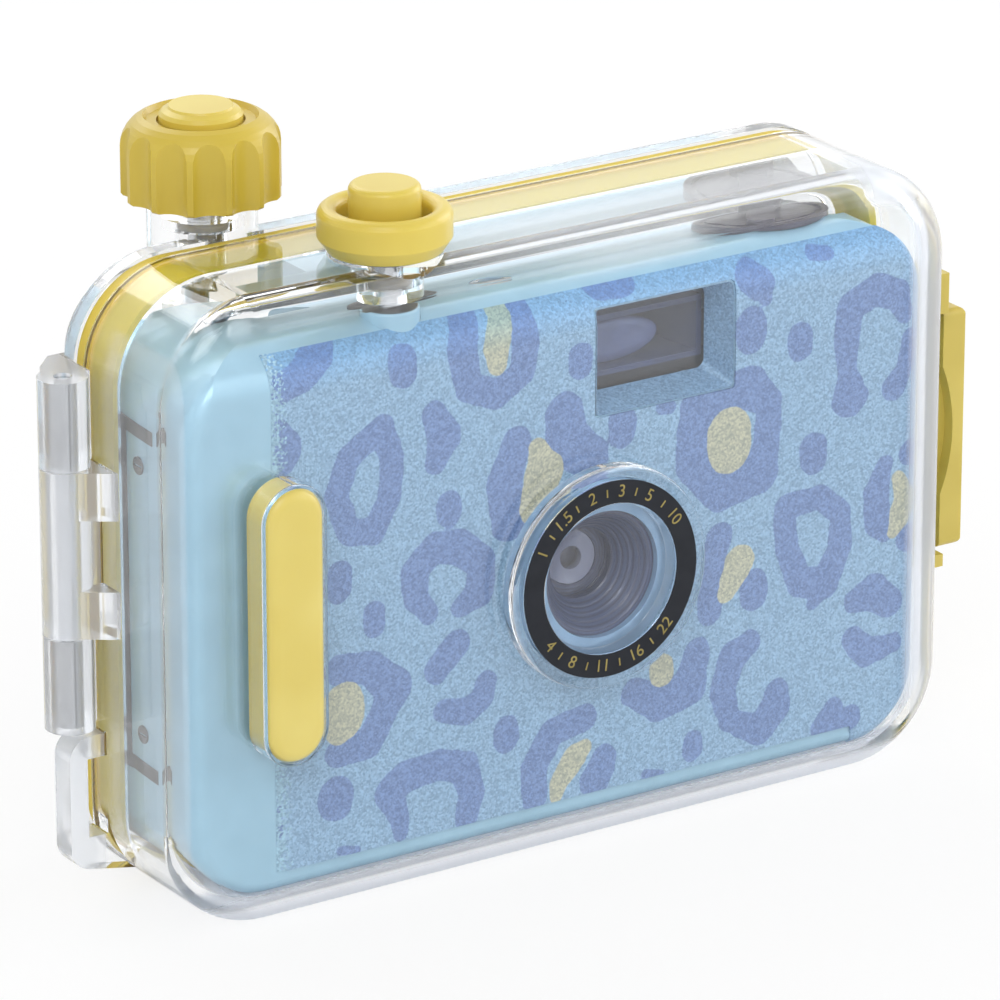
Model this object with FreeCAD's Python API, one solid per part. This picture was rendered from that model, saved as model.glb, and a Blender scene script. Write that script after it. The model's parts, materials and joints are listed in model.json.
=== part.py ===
import FreeCAD, Part
import math
import os

# Waterproof film camera: a clear snap case with a hinged back, and the film camera inside it.
# Millimetres. +X is the viewer's right, +Y the back, +Z up.
# The origin lies on the flat base, midway along it, on the line where the two case shells part.

# Case, front shell
case_width = 124.0
case_height = 87.0
front_depth = 25.0
case_corner = 14.0
front_round = 4.0
case_wall = 2.4
rebate_wall = 1.3
rebate_depth = 10.4
parting_gap = 2.4

# Case, rear shell
flange_depth = 3.2
flange_round = 1.0
flange_band = 3.2
tray_inset = 4.5
tray_depth = 15.0
tray_wall = 2.2
tray_round = 6.5

# Gasket
gasket_clear = 0.45
gasket_skirt = 1.1
gasket_reach = 6.1
gasket_recess = 0.5

# Lens port on the front shell
port_x = 4.2
port_drop = 24.8
port_radius = 15.7
port_stand = 2.3
port_window = 2.2
port_bore = 13.9
ring_outer = 13.9
ring_inner = 10.7
ring_thickness = 0.4
trim_clear = 0.05

# Grip pad on the front shell
grip_inset = 15.9
grip_z = 43.2
grip_half_width = 4.4
grip_half_height = 19.0
grip_stand = 4.5
grip_frame_stand = 3.8
grip_frame_edge = 0.6
grip_pocket = 0.9

# Hinge
hinge_out = 4.3
hinge_back = -4.7
hinge_radius = 3.4
hinge_bottom = 25.6
hinge_low_knuckle = 13.2
hinge_mid_knuckle = 23.1
hinge_high_knuckle = 12.2
hinge_band = 6.6
hinge_gap = 0.2
hinge_pin_radius = 1.2
hinge_heel = 0.7
hinge_foot = 2.0
hinge_reach = 3.7
running_clear = 0.06

# Strap lug, on the front shell's lower left corner
lug_reach = 5.6
lug_bar = 2.7
lug_top = 24.4
lug_low = 6.0
lug_depth = 4.0
lug_back = -2.6
lug_rim = 3.2
lug_foot = 9.0
lug_slope = 2.8
lug_web = 12.0
lug_bar_bottom = 4.0

# Shutter button on the case
button_inset = 37.7
button_back = 8.6
collar_radius = 7.75
collar_stand = 0.5
collar_drop = 3.0
button_ring_radius = 8.95
button_ring_bore = 6.2
button_ring_height = 6.0
cap_radius = 4.8
cap_stand = 9.0
cap_lift = 1.9
cap_wall = 1.3
button_travel = 1.5
rod_radius = 1.5
seal_section = 0.7
spring_radius = 3.2
spring_wire = 0.5
spring_turns = 5

# Winding knob on the case
spool_inset = 16.5
knob_y = 7.1
knob_radius = 10.7
knob_height = 11.2
knob_lift = 4.0
knob_round = 4.4
knob_grooves = 13
knob_groove_radius = 3.0
knob_groove_depth = 1.15
knob_groove_turn = -115.2
knob_cap_radius = 5.6
knob_cap_stand = 1.1
boss_radius = 7.4
boss_gap = 0.3
shaft_radius = 2.0

# Winding gears
gear_module = 0.8
drive_teeth = 10
thumb_teeth = 22
gear_addendum = 0.6
gear_dedendum = 0.95
gear_slack = 0.22
thumb_bore = 1.2
thumb_hub = 3.0
thumb_hub_rise = 0.6
gear_drop = 6.9
notch_left_room = 12.0
notch_right_room = 11.5
notch_floor = 2.0
notch_back = 0.5
gear_thickness = 4.0

# Latch on the case's right side
latch_middle = 44.5
catch_stand = 1.8
catch_front = -12.6
catch_depth = 1.8
catch_height = 39.0
latch_clear = 0.3
link_height = 43.2
link_rise = 2.0
link_tab_front = -19.0
link_thickness = 1.8
link_lip = 1.4
lever_height = 35.0
lever_gap = 2.3
lever_wall = 1.7
lever_front = -17.6
lever_bar = 2.9
lever_cheek = 2.2
lever_round = 1.0
lever_rib = 8.0
scoop_depth = 1.9
scoop_height = 18.8
scoop_reach = 1.9
lever_pivot_out = 2.4
lever_pivot_y = 5.8
lever_eye = 2.0
link_pivot_out = 3.0
link_pivot_y = 9.8
link_eye = 1.6
link_step = 1.6
latch_pin_radius = 0.9
ear_height = 4.6

# Film camera body
camera_side_room = 1.4
camera_floor_room = 0.8
camera_top_room = 5.8
camera_front_room = 0.6
camera_corner = 11.0
cover_back = -1.5
cover_round = 2.0
brow_round = 6.0
cover_wall = 1.6
rear_room = 0.9
rear_top_room = 2.0
rear_back_room = 0.6
rear_corner = 9.0
chassis_front = -13.0
deck_height = 14.8
film_door_thickness = 2.6
door_gap = 0.3
deck_front = -1.2
deck_gap = 0.4
deck_wall = 1.5
rear_round = 2.0
print_margin = 12.2
print_lift = 3.3
print_thickness = 0.35
print_back = -19.6

# Viewfinder
finder_x = 15.6
finder_drop = 10.6
finder_half_width = 9.3
finder_half_height = 5.9
finder_flare = 1.8
finder_rise = 1.2
finder_depth = 4.2
finder_glass = 1.0
eyepiece_half_width = 5.0
eyepiece_half_height = 3.6
tunnel_wall = 0.8
tunnel_inset = 1.6
eyepiece_thickness = 1.2
eyepiece_lap = 0.8

# Lens and shutter
collar_front = -24.3
collar_outer = 13.2
collar_inner = 10.6
barrel_radius = 8.9
barrel_front = -23.4
barrel_back = -14.2
lens_seat = -19.0
lens_radius = 5.0
lens_thickness = 2.4
lens_curve = 12.5
retainer_radius = 5.6
ridge_count = 4
aperture_radius = 1.5
blade_thickness = 0.3
blade_gap = 0.15
blade_disc = 3.0
blade_eye = 2.2
blade_pin_radius = 0.6
blade_pin_length = 1.4
blade_arm = 1.6
shutter_plate_half_width = 14.0
shutter_plate_half_height = 12.0
shutter_plate_corner = 3.0
shutter_plate_thickness = 0.8
shutter_room_side = 1.0
shutter_room_depth = 6.0
blade_pivot_x = 8.0
blade_pivot_z = -6.0

# Film path
film_plane = 7.0
pressure_half_height = 17.0
pressure_side = 6.0
pressure_corner = 2.0
pressure_gap = 0.2
leaf_thickness = 0.3
leaf_half_width = 16.0
leaf_half_height = 4.0
leaf_foot = 5.0
film_thickness = 0.2
film_height = 35.0
gate_width = 36.0
gate_height = 24.0
cartridge_inset = 13.6
cartridge_y = -7.4
cartridge_radius = 12.5
cartridge_height = 43.0
chamber_clear = 0.7
spool_radius = 5.5
coil_thickness = 1.2
film_bend = 5.0
spool_chamber = 9.9
spool_flange_gap = 1.2
axle_radius = 2.0
axle_floor = 1.5
axle_gap = 0.5
sprocket_axle = 1.5
sprocket_core = 3.4
sprocket_rim = 0.6
sprocket_rim_height = 2.0
sprocket_tooth = 0.75
sprocket_teeth = 8
sprocket_gap = 16.4
sprocket_radius = 6.0
crank_radius = 9.5
crank_thickness = 1.3
crank_bar = 1.4
crank_gap = 0.1
crank_seat = 0.7
fork_radius = 2.0
fork_half_width = 2.2
fork_half_depth = 0.5
fork_reach = 4.0
fork_tip = 1.0
counter_gap = 20.3
counter_y = -9.0
counter_radius = 7.0
counter_thickness = 0.8
counter_gap_above = 0.4
counter_axle = 1.5
counter_axle_length = 2.0
bridge_reach = 9.0
bridge_half_width = 3.0
bridge_wall = 1.4
bridge_gap = 1.0
counter_window_radius = 3.0
camera_button_radius = 4.0
camera_button_stand = 1.2
camera_button_length = 4.4
button_stem_length = 4.0
button_stem_radius = 1.2
button_leaf_reach = 11.0
button_leaf_foot = 2.5
button_leaf_half = 2.0
button_leaf_wall = 0.4
button_leaf_gap = 0.2
pressing_gap = 0.15
catch_slide = 1.6
catch_stand_out = 0.2
catch_half_height = 6.0
catch_travel = 1.0
catch_front_gap = 0.5
catch_back_gap = 0.7
screw_radius = 1.1
screw_head = 2.0
screw_wall = 0.75
screw_floor = 2.0
screw_head_height = 1.6
screw_tip = 4.0
screw_left_inset = 4.4
screw_low_inset = 4.4
screw_high_inset = 4.8
screw_chamber_gap = 3.1


def at(x, y, z):
    return FreeCAD.Vector(x, y, z)


X_AXIS = at(1, 0, 0)
Y_AXIS = at(0, 1, 0)
Z_AXIS = at(0, 0, 1)


def save(node, shape):
    solids = shape.Solids
    clean = solids[0] if len(solids) == 1 else Part.makeCompound(solids)
    clean.exportStep("parts/" + node + ".step")
    print(node, len(solids), round(clean.Volume, 1))


def box(x0, x1, y0, y1, z0, z1):
    return Part.makeBox(x1 - x0, y1 - y0, z1 - z0, at(x0, y0, z0))


def rod_z(x, y, z0, z1, radius):
    return Part.makeCylinder(radius, z1 - z0, at(x, y, z0), Z_AXIS)


def rod_y(x, z, y0, y1, radius):
    return Part.makeCylinder(radius, y1 - y0, at(x, y0, z), Y_AXIS)


def tube_z(x, y, z0, z1, outer, inner):
    return rod_z(x, y, z0, z1, outer).cut(rod_z(x, y, z0, z1, inner))


def tube_y(x, z, y0, y1, outer, inner):
    return rod_y(x, z, y0, y1, outer).cut(rod_y(x, z, y0, y1, inner))


def ring_seal(x, y, z, inner, section):
    return Part.makeTorus(inner + section, section, at(x, y, z), Z_AXIS)


def outline(points, along):
    """A closed outline of straight sides, given as a face and pushed along a direction."""
    wire = Part.makePolygon(points + [points[0]])
    return Part.Face(wire).extrude(along)


def rounded_block(half_width, bottom, top, corner, front, back, middle=0.0):
    """A block with four rounded corners seen from the front, running from front to back."""
    left = middle - half_width
    right = middle + half_width
    cut = corner * (1 - math.sqrt(0.5))
    corners = [
        (at(left, front, bottom + corner), at(left + cut, front, bottom + cut), at(left + corner, front, bottom)),
        (at(right - corner, front, bottom), at(right - cut, front, bottom + cut), at(right, front, bottom + corner)),
        (at(right, front, top - corner), at(right - cut, front, top - cut), at(right - corner, front, top)),
        (at(left + corner, front, top), at(left + cut, front, top - cut), at(left, front, top - corner)),
    ]
    edges = []
    for index, (start, middle_point, end) in enumerate(corners):
        edges.append(Part.Arc(start, middle_point, end).toShape())
        following = corners[(index + 1) % 4][0]
        if (following - end).Length > 1e-6:
            edges.append(Part.makeLine(end, following))
    return Part.Face(Part.Wire(edges)).extrude(at(0, back - front, 0))


def round_at_y(solid, radius, y):
    """Rounds every edge that lies wholly in the plane at y."""
    picked = []
    for edge in solid.Edges:
        limits = edge.BoundBox
        if abs(limits.YMin - y) < 1e-4 and abs(limits.YMax - y) < 1e-4:
            picked.append(edge)
    return solid.makeFillet(radius, picked)


def round_at_z(solid, radius, z, reach=None):
    """Rounds every edge that lies wholly in the plane at z."""
    picked = []
    for edge in solid.Edges:
        limits = edge.BoundBox
        if abs(limits.ZMin - z) < 1e-4 and abs(limits.ZMax - z) < 1e-4:
            if reach is None or limits.XLength > reach:
                picked.append(edge)
    return solid.makeFillet(radius, picked)


def turned(x, y, profile):
    """A solid of revolution about the upright line at x, y. The profile is radius and height pairs."""
    points = [at(x + radius, y, height) for radius, height in profile]
    face = Part.Face(Part.makePolygon(points + [points[0]]))
    return face.revolve(at(x, y, 0), Z_AXIS, 360)


def turned_y(x, z, profile):
    """A solid of revolution about the lens axis. The profile is radius and depth pairs."""
    points = [at(x + radius, depth, z) for radius, depth in profile]
    face = Part.Face(Part.makePolygon(points + [points[0]]))
    return face.revolve(at(x, 0, z), Y_AXIS, 360)


def arc_points(center, radius, start, end, count):
    """Points along an arc in a profile, from one angle to another in degrees."""
    points = []
    for step in range(count + 1):
        angle = math.radians(start + (end - start) * step / count)
        points.append((center[0] + radius * math.cos(angle), center[1] + radius * math.sin(angle)))
    return points


def pill(x, z, half_width, half_height, front, back):
    return rounded_block(half_width, z - half_height, z + half_height, half_width - 0.01, front, back, x)


# Places worked out from the driving sizes
half_case = case_width / 2
front_face = -front_depth
tray_top = case_height - tray_inset
tray_half = half_case - tray_inset
camera_half_width = half_case - case_wall - camera_side_room
camera_bottom = case_wall + camera_floor_room
camera_top = case_height - case_wall - camera_top_room
camera_front = front_face + case_wall + camera_front_room
rear_half_width = tray_half - tray_wall - rear_room
chassis_bottom = tray_inset + tray_wall + rear_room
deck_top = tray_top - tray_wall - rear_top_room
chassis_top = deck_top - deck_height
door_back = tray_depth - tray_wall - rear_back_room
chassis_back = door_back - film_door_thickness - door_gap
port_z = chassis_top - port_drop
print_left = -camera_half_width + print_margin
print_bottom = camera_bottom + print_lift
grip_x = -half_case + grip_inset
button_x = -half_case + button_inset
button_y = front_face + button_back
knob_x = -rear_half_width + spool_inset
gear_bottom = deck_top - gear_drop
finder_z = camera_top - finder_drop
cartridge_x = rear_half_width - cartridge_inset
sprocket_x = knob_x + sprocket_gap
counter_x = button_x + counter_gap
hinge_x = -half_case - hinge_out
hinge_low_top = hinge_bottom + hinge_low_knuckle
hinge_mid_bottom = hinge_low_top + hinge_gap
hinge_mid_top = hinge_mid_bottom + hinge_mid_knuckle
hinge_high_bottom = hinge_mid_top + hinge_gap
hinge_top = hinge_high_bottom + hinge_high_knuckle
collar_top = case_height + collar_stand
collar_bottom = case_height - case_wall - collar_drop
knob_bottom = case_height + knob_lift
knob_top = knob_bottom + knob_height
boss_top = knob_bottom - boss_gap
gear_distance = gear_module * (drive_teeth + thumb_teeth) / 2
thumb_y = knob_y - gear_distance
gear_top = gear_bottom + gear_thickness
catch_side = half_case + catch_stand
link_middle = latch_middle + link_rise
link_side = catch_side + latch_clear
lever_inner = link_side + link_thickness + lever_gap
lever_side = lever_inner + lever_wall
lever_pivot_x = half_case + lever_pivot_out
link_pivot_x = half_case + link_pivot_out
port_front = front_face - port_stand
port_back = port_front + port_window
sprocket_y = film_plane - sprocket_radius - 0.1
cap_top = collar_top + cap_stand
crank_bottom = camera_top + crank_gap
crank_top = crank_bottom + crank_thickness


def front_shell():
    outer = rounded_block(half_case, 0, case_height, case_corner, front_face, -parting_gap)
    outer = round_at_y(outer, front_round, front_face)
    outer = outer.fuse(round_at_y(rod_y(port_x, port_z, port_front, front_face + 1, port_radius), 0.8, port_front))
    outer = outer.fuse(round_at_y(pill(grip_x, grip_z, grip_half_width + grip_frame_edge,
                                       grip_half_height + grip_frame_edge, front_face - grip_frame_stand,
                                       front_face + 1), 0.3, front_face - grip_frame_stand))
    outer = outer.fuse(rod_z(button_x, button_y, collar_bottom, collar_top, collar_radius))
    cavity = rounded_block(half_case - case_wall, case_wall, case_height - case_wall, case_corner - case_wall,
                           front_face + case_wall, -parting_gap + 1)
    cavity = round_at_y(cavity, front_round - case_wall + 1.0, front_face + case_wall)
    rebate = rounded_block(half_case - rebate_wall, rebate_wall, case_height - rebate_wall,
                           case_corner - rebate_wall, -rebate_depth, -parting_gap + 1)
    guide = rod_z(button_x, button_y, collar_bottom, case_height, rod_radius * 3)
    shell = outer.cut(cavity.fuse(rebate).cut(guide))
    shell = shell.cut(rod_y(port_x, port_z, port_back, front_face + case_wall + 1, port_bore))
    groove = tube_y(port_x, port_z, port_front, port_front + ring_thickness, ring_outer + trim_clear,
                    ring_inner - trim_clear)
    shell = shell.cut(groove)
    pocket_back = front_face + grip_pocket
    shell = shell.cut(pill(grip_x, grip_z, grip_half_width + trim_clear, grip_half_height + trim_clear,
                           front_face - grip_stand, pocket_back))
    shell = shell.cut(rod_z(button_x, button_y, collar_bottom - 1, collar_top + 1, rod_radius + running_clear))
    shell = shell.cut(rod_z(button_x, button_y, seal_middle() - seal_section, seal_middle() + seal_section,
                            rod_radius + 2 * seal_section + 3 * trim_clear))
    shell = shell.cut(tube_z(button_x, button_y, collar_top - 1.0, collar_top + 1,
                             spring_radius + spring_wire + 0.1, spring_radius - spring_wire - 0.1))
    shell = shell.fuse(front_knuckle())
    shell = shell.fuse(strap_lug())
    catch = box(half_case - 1, catch_side, catch_front, catch_front + catch_depth,
                link_middle - catch_height / 2, link_middle + catch_height / 2)
    return shell.fuse(catch).removeSplitter()


def seal_middle():
    return collar_bottom + 2.0


def front_knuckle():
    barrel = rod_z(hinge_x, hinge_back, hinge_mid_bottom, hinge_mid_top, hinge_radius)
    arm_front = hinge_back - hinge_radius
    arm_back = -parting_gap - 0.3
    root = -half_case + 1
    for low in (hinge_mid_bottom, hinge_mid_top - hinge_band):
        barrel = barrel.fuse(outline([at(hinge_x, arm_front, low), at(root, arm_front - hinge_reach, low),
                                      at(root, arm_back, low), at(hinge_x, arm_back, low)], at(0, 0, hinge_band)))
    web = box(hinge_x, root, arm_front + 1.4, arm_back - 0.8, hinge_mid_bottom, hinge_mid_top)
    barrel = barrel.fuse(web)
    return barrel.cut(rod_z(hinge_x, hinge_back, hinge_mid_bottom - 1, hinge_mid_top + 1,
                            hinge_pin_radius + running_clear))


def strap_lug():
    """A loop on the left wall that squares off the case's lower corner, for a wrist strap."""
    out = -half_case - lug_reach
    inside = -half_case + 1.0
    foot = -half_case + lug_foot
    front = lug_back - lug_depth
    along = at(0, lug_depth, 0)
    body = outline([at(inside, front, lug_top), at(out, front, lug_top), at(out, front, lug_low),
                    at(foot, front, lug_low - lug_slope), at(foot + 2, front, lug_low), at(inside, front, lug_web)],
                   along)
    corner_edges = []
    for edge in body.Edges:
        limits = edge.BoundBox
        if limits.YLength > lug_depth - 0.01 and abs(limits.XMin - out) < 0.01:
            corner_edges.append(edge)
    body = body.makeFillet(lug_rim, corner_edges)
    slot = box(out + lug_bar, -half_case, front - 1, lug_back + 1, lug_low + lug_bar_bottom,
               lug_top - lug_rim)
    fill = rounded_block(half_case, 0, case_height, case_corner, front, lug_back)
    return body.cut(slot).cut(fill).fuse(body.common(fill).cut(
        rounded_block(half_case - rebate_wall, rebate_wall, case_height - rebate_wall,
                      case_corner - rebate_wall, front, lug_back)))


def rear_shell():
    flange = rounded_block(half_case, 0, case_height, case_corner, 0, flange_depth)
    flange = round_at_y(flange, flange_round, flange_depth)
    tray = rounded_block(tray_half, tray_inset, tray_top, case_corner - tray_inset / 2, flange_depth / 2, tray_depth)
    tray = round_at_y(tray, tray_round, tray_depth)
    boss = rod_z(knob_x, knob_y, tray_top - tray_round, boss_top, boss_radius)
    boss = boss.cut(box(-case_width, case_width, -case_width, 0, 0, 2 * case_height))
    outer = flange.fuse(tray).fuse(boss)
    opening = rounded_block(half_case - flange_band, flange_band, case_height - flange_band,
                            case_corner - flange_band, -1, flange_depth - tray_wall / 2)
    cavity = rounded_block(tray_half - tray_wall, tray_inset + tray_wall, tray_top - tray_wall,
                           case_corner - tray_inset / 2 - tray_wall, -1, tray_depth - tray_wall)
    cavity = round_at_y(cavity, tray_round - tray_wall, tray_depth - tray_wall)
    shell = outer.cut(opening.fuse(cavity))
    shell = shell.fuse(rod_z(knob_x, knob_y, knob_pad_height(), tray_top - tray_wall + 0.5, shaft_radius + 2.2))
    shell = shell.cut(rod_z(knob_x, knob_y, knob_pad_height() - 1, boss_top + 1, shaft_radius + running_clear))
    shell = shell.cut(rod_z(knob_x, knob_y, knob_seal_height() - seal_section, knob_seal_height() + seal_section,
                            shaft_radius + 2 * seal_section + 3 * trim_clear))
    for low, high in ((hinge_bottom, hinge_low_top), (hinge_high_bottom, hinge_top)):
        knuckle = rod_z(hinge_x, hinge_back, low, high, hinge_radius)
        side = -half_case - 0.25
        root = -half_case + 1.5
        corners = [at(hinge_x - hinge_radius, hinge_back, low), at(hinge_x - hinge_heel, 0, low),
                   at(-half_case - hinge_foot, flange_depth, low), at(root, flange_depth, low), at(root, 0, low),
                   at(side, 0, low), at(side, hinge_back, low)]
        arm = Part.Face(Part.makePolygon(corners + [corners[0]])).extrude(at(0, 0, high - low))
        bore = rod_z(hinge_x, hinge_back, low - 1, high + 1, hinge_pin_radius)
        shell = shell.fuse(knuckle.fuse(arm).cut(bore))
    for low in ear_bottoms():
        ear = box(tray_half - tray_wall / 2, lever_pivot_x, flange_depth - 0.5, lever_pivot_y + lever_eye, low,
                  low + ear_height)
        ear = ear.fuse(rod_z(lever_pivot_x, lever_pivot_y, low, low + ear_height, lever_eye))
        shell = shell.fuse(ear.cut(rod_z(lever_pivot_x, lever_pivot_y, low - 1, low + ear_height + 1,
                                         latch_pin_radius)))
    return shell.removeSplitter()


def knob_seal_height():
    return case_height + 0.5


def knob_pad_height():
    return tray_top - tray_wall - 1.0


def gasket():
    """A soft frame seated on the rear shell: a bead between the shells and a skirt inside the front one."""
    recess = gasket_recess
    bead = rounded_block(half_case - recess, recess, case_height - recess, case_corner - recess, -parting_gap, 0)
    hole = half_case - rebate_wall - gasket_clear - gasket_skirt
    inner = half_case - hole
    window = rounded_block(hole, inner, case_height - inner, case_corner - inner, -parting_gap - gasket_reach - 1, 1)
    outer = half_case - rebate_wall - gasket_clear
    reach = half_case - outer
    skirt = rounded_block(outer, reach, case_height - reach, case_corner - reach, -parting_gap - gasket_reach, 0)
    return bead.fuse(skirt).cut(window).removeSplitter()


def involute(angle):
    return math.tan(angle) - angle


def gear(x, y, teeth, bore, first_tooth):
    """A spur gear with involute flanks. first_tooth is the direction of one tooth, in degrees."""
    pitch = gear_module * teeth / 2
    base = pitch * math.cos(math.radians(20))
    tip = pitch + gear_addendum
    root = pitch - gear_dedendum
    half_tooth = (math.pi * gear_module / 2 - gear_slack) / 2 / pitch
    flank_start = max(base, root)
    radii = [flank_start + (tip - flank_start) * step / 4 for step in range(5)]
    widths = []
    for radius in radii:
        pressure = math.acos(min(1.0, base / radius))
        widths.append(half_tooth + involute(math.radians(20)) - involute(pressure))
    points = []
    for tooth in range(teeth):
        middle = math.radians(first_tooth) + 2 * math.pi * tooth / teeth
        if root < base:
            points.append((root, middle - widths[0]))
        points += [(radius, middle - width) for radius, width in zip(radii, widths)]
        points += [(radius, middle + width) for radius, width in zip(reversed(radii), reversed(widths))]
        if root < base:
            points.append((root, middle + widths[0]))
    corners = [at(x + r * math.cos(a), y + r * math.sin(a), gear_bottom) for r, a in points]
    solid = outline(corners, at(0, 0, gear_thickness))
    return solid.cut(rod_z(x, y, gear_bottom - 1, gear_top + 1, bore))


def wind_knob():
    low = knob_bottom
    shoulder = knob_top - knob_round
    dome = arc_points((knob_radius - knob_round, shoulder), knob_round, 0, 72, 6)
    profile = [(shaft_radius, low + 2.5), (knob_radius - 2.0, low + 2.5), (knob_radius - 2.0, low),
               (knob_radius - 0.3, low), (knob_radius, low + 0.3)]
    profile += dome
    profile += [(knob_cap_radius + 1.6, knob_top - 0.9), (knob_cap_radius + 0.3, knob_top - 0.9),
                (knob_cap_radius + 0.3, knob_top - 1.6), (shaft_radius, knob_top - 1.6)]
    body = turned(knob_x, knob_y, profile)
    for index in range(knob_grooves):
        angle = math.radians(knob_groove_turn + 360.0 * index / knob_grooves)
        reach = knob_radius + knob_groove_radius - knob_groove_depth
        x = knob_x + reach * math.cos(angle)
        y = knob_y + reach * math.sin(angle)
        body = body.cut(rod_z(x, y, low - 1, knob_top + 1, knob_groove_radius))
    return body


def knob_cap():
    low = knob_top - 1.6
    high = knob_top + knob_cap_stand
    profile = [(0, low), (knob_cap_radius, low), (knob_cap_radius, high - 1.2), (knob_cap_radius - 0.4, high - 0.7),
               (knob_cap_radius - 1.2, high - 0.3), (knob_cap_radius - 1.35, high), (0, high)]
    return turned(knob_x, knob_y, profile)


def shutter_ring():
    low = collar_top
    high = low + button_ring_height
    outer = button_ring_radius
    inner = button_ring_bore
    lip = (outer - inner) / 2
    crest = arc_points((inner + lip, high - lip), lip, 0, 180, 12)
    profile = [(inner, low), (outer - 1.25, low), (outer - 0.1, low + 1.7), (outer, low + 1.9)] + crest
    return turned(button_x, button_y, profile)


def shutter_cap():
    low = collar_top + cap_lift
    crown = arc_points((cap_radius - 0.9, cap_top - 0.9), 0.9, 0, 90, 5)
    profile = [(cap_radius - cap_wall, low), (cap_radius, low)] + crown
    profile += [(rod_radius, cap_top), (rod_radius, cap_top - 3.5), (cap_radius - cap_wall, cap_top - 3.5)]
    plug = rod_z(button_x, button_y, cap_top - 1.2, cap_top, rod_radius)
    return turned(button_x, button_y, profile).fuse(plug).removeSplitter()


def shutter_rod():
    return rod_z(button_x, button_y, camera_top + camera_button_stand + pressing_gap, cap_top - 1.2, rod_radius)


def shutter_spring():
    low = collar_top - 1.0 + spring_wire
    high = cap_top - 3.5 - spring_wire
    pitch = (high - low) / spring_turns
    path = Part.makeHelix(pitch, high - low, spring_radius)
    path.translate(at(button_x, button_y, low))
    section = Part.Wire(Part.makeCircle(spring_wire / 2, at(button_x + spring_radius, button_y, low), Y_AXIS))
    return Part.Wire(path.Edges).makePipeShell([section], True, True)


def camera_shell(grow, back):
    """The front cover's plain outer form, grown for the skin on it or shrunk for its hollow.

    The edge is tight at the sides and below, and wide along the top.
    """
    front = camera_front - grow
    top = camera_top + grow
    half_width = camera_half_width + grow
    block = rounded_block(half_width, camera_bottom - grow, top, camera_corner + grow, front, back)
    block = round_at_y(block, cover_round + grow, front)
    bar = box(-half_width - 1, half_width + 1, front, back, 0, top)
    brow = [edge for edge in bar.Edges if edge.BoundBox.XLength > 1
            and abs(edge.BoundBox.YMin - front) < 1e-4 and abs(edge.BoundBox.ZMin - top) < 1e-4]
    return block.common(bar.makeFillet(brow_round + grow, brow))


def finder_recess():
    """The tapered pocket in the camera's front that frames the viewfinder window."""
    sides = []
    for y, grow in ((camera_front - 1, finder_flare * 1.25), (camera_front + finder_depth, 0.0)):
        left = finder_x - finder_half_width - grow
        right = finder_x + finder_half_width + grow
        low = finder_z - finder_half_height - grow
        high = finder_z + finder_half_height + grow * finder_rise / finder_flare
        corners = [at(left, y, low), at(right, y, low), at(right, y, high), at(left, y, high)]
        sides.append(Part.makePolygon(corners + [corners[0]]))
    return Part.makeLoft(sides, True, True)


def front_cover():
    cover = camera_shell(0.0, cover_back).cut(camera_shell(-cover_wall, cover_back + 1))
    frame = box(finder_x - finder_half_width - cover_wall, finder_x + finder_half_width + cover_wall,
                camera_front + cover_wall / 2, camera_front + finder_depth,
                finder_z - finder_half_height - cover_wall, finder_z + finder_half_height + cover_wall)
    cover = cover.fuse(frame).cut(finder_recess())
    cover = cover.cut(box(finder_x - finder_half_width, finder_x + finder_half_width, camera_front, cover_back,
                          finder_z - finder_half_height, finder_z + finder_half_height))
    cover = cover.cut(rod_y(port_x, port_z, camera_front - 1, camera_front + 3, barrel_radius + trim_clear))
    cover = cover.cut(rod_z(button_x, button_y, camera_top - 8, camera_top + 1,
                            camera_button_radius + running_clear))
    cover = cover.cut(rod_z(cartridge_x, cartridge_y, camera_top - 3, camera_top + 1, fork_radius + running_clear))
    cover = cover.cut(rod_z(counter_x, counter_y, camera_top - 3, camera_top + 1, counter_window_radius))
    for x, z in screw_places():
        post = rod_y(x, z, camera_front + cover_wall / 2, chassis_front, screw_radius + screw_wall)
        cover = cover.fuse(post.cut(rod_y(x, z, camera_front + screw_tip - 1, chassis_front + 1, screw_radius)))
    return cover.removeSplitter()


def print_panel():
    skin = camera_shell(print_thickness, cover_back).cut(camera_shell(0.0, cover_back))
    reach = box(print_left, camera_half_width + 1, camera_front - 1, print_back, print_bottom, camera_top + 1)
    panel = skin.common(reach).cut(finder_recess())
    panel = panel.cut(rod_z(button_x, button_y, camera_top - 8, camera_top + 1, camera_button_radius + 0.3))
    return panel.cut(rod_y(port_x, port_z, camera_front - 1, camera_front + 1, collar_outer + trim_clear))


def lens_collar():
    front = collar_front
    back = camera_front
    profile = [(barrel_radius + trim_clear, back), (collar_outer, back), (collar_outer, back - 0.5),
               (collar_inner, front + 0.25), (collar_inner - 0.3, front), (barrel_radius + trim_clear, front)]
    return turned_y(port_x, port_z, profile)


def lens_barrel():
    """A stepped cone that narrows to the lens seat, then a straight sleeve to the shutter."""
    front = barrel_front
    seat = lens_seat
    profile = [(barrel_radius, front), (barrel_radius, seat - 0.6), (barrel_radius - 1.2, seat + 1.0),
               (retainer_radius + 1.0, seat + 1.0), (retainer_radius + 1.0, barrel_back), (lens_radius - 1.5, barrel_back),
               (lens_radius - 1.5, seat + lens_thickness), (lens_radius, seat + lens_thickness), (lens_radius, seat)]
    step_in = (barrel_radius - 0.9 - lens_radius) / ridge_count
    step_back = (seat - 0.2 - front) / ridge_count
    for index in range(ridge_count):
        radius = lens_radius + step_in * index
        depth = seat - 0.2 - step_back * index
        profile.append((radius + step_in * 0.3, depth))
        profile.append((radius + step_in, depth - step_back * 0.8))
    profile.append((barrel_radius - 0.7, front))
    return turned_y(port_x, port_z, profile)


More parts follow.
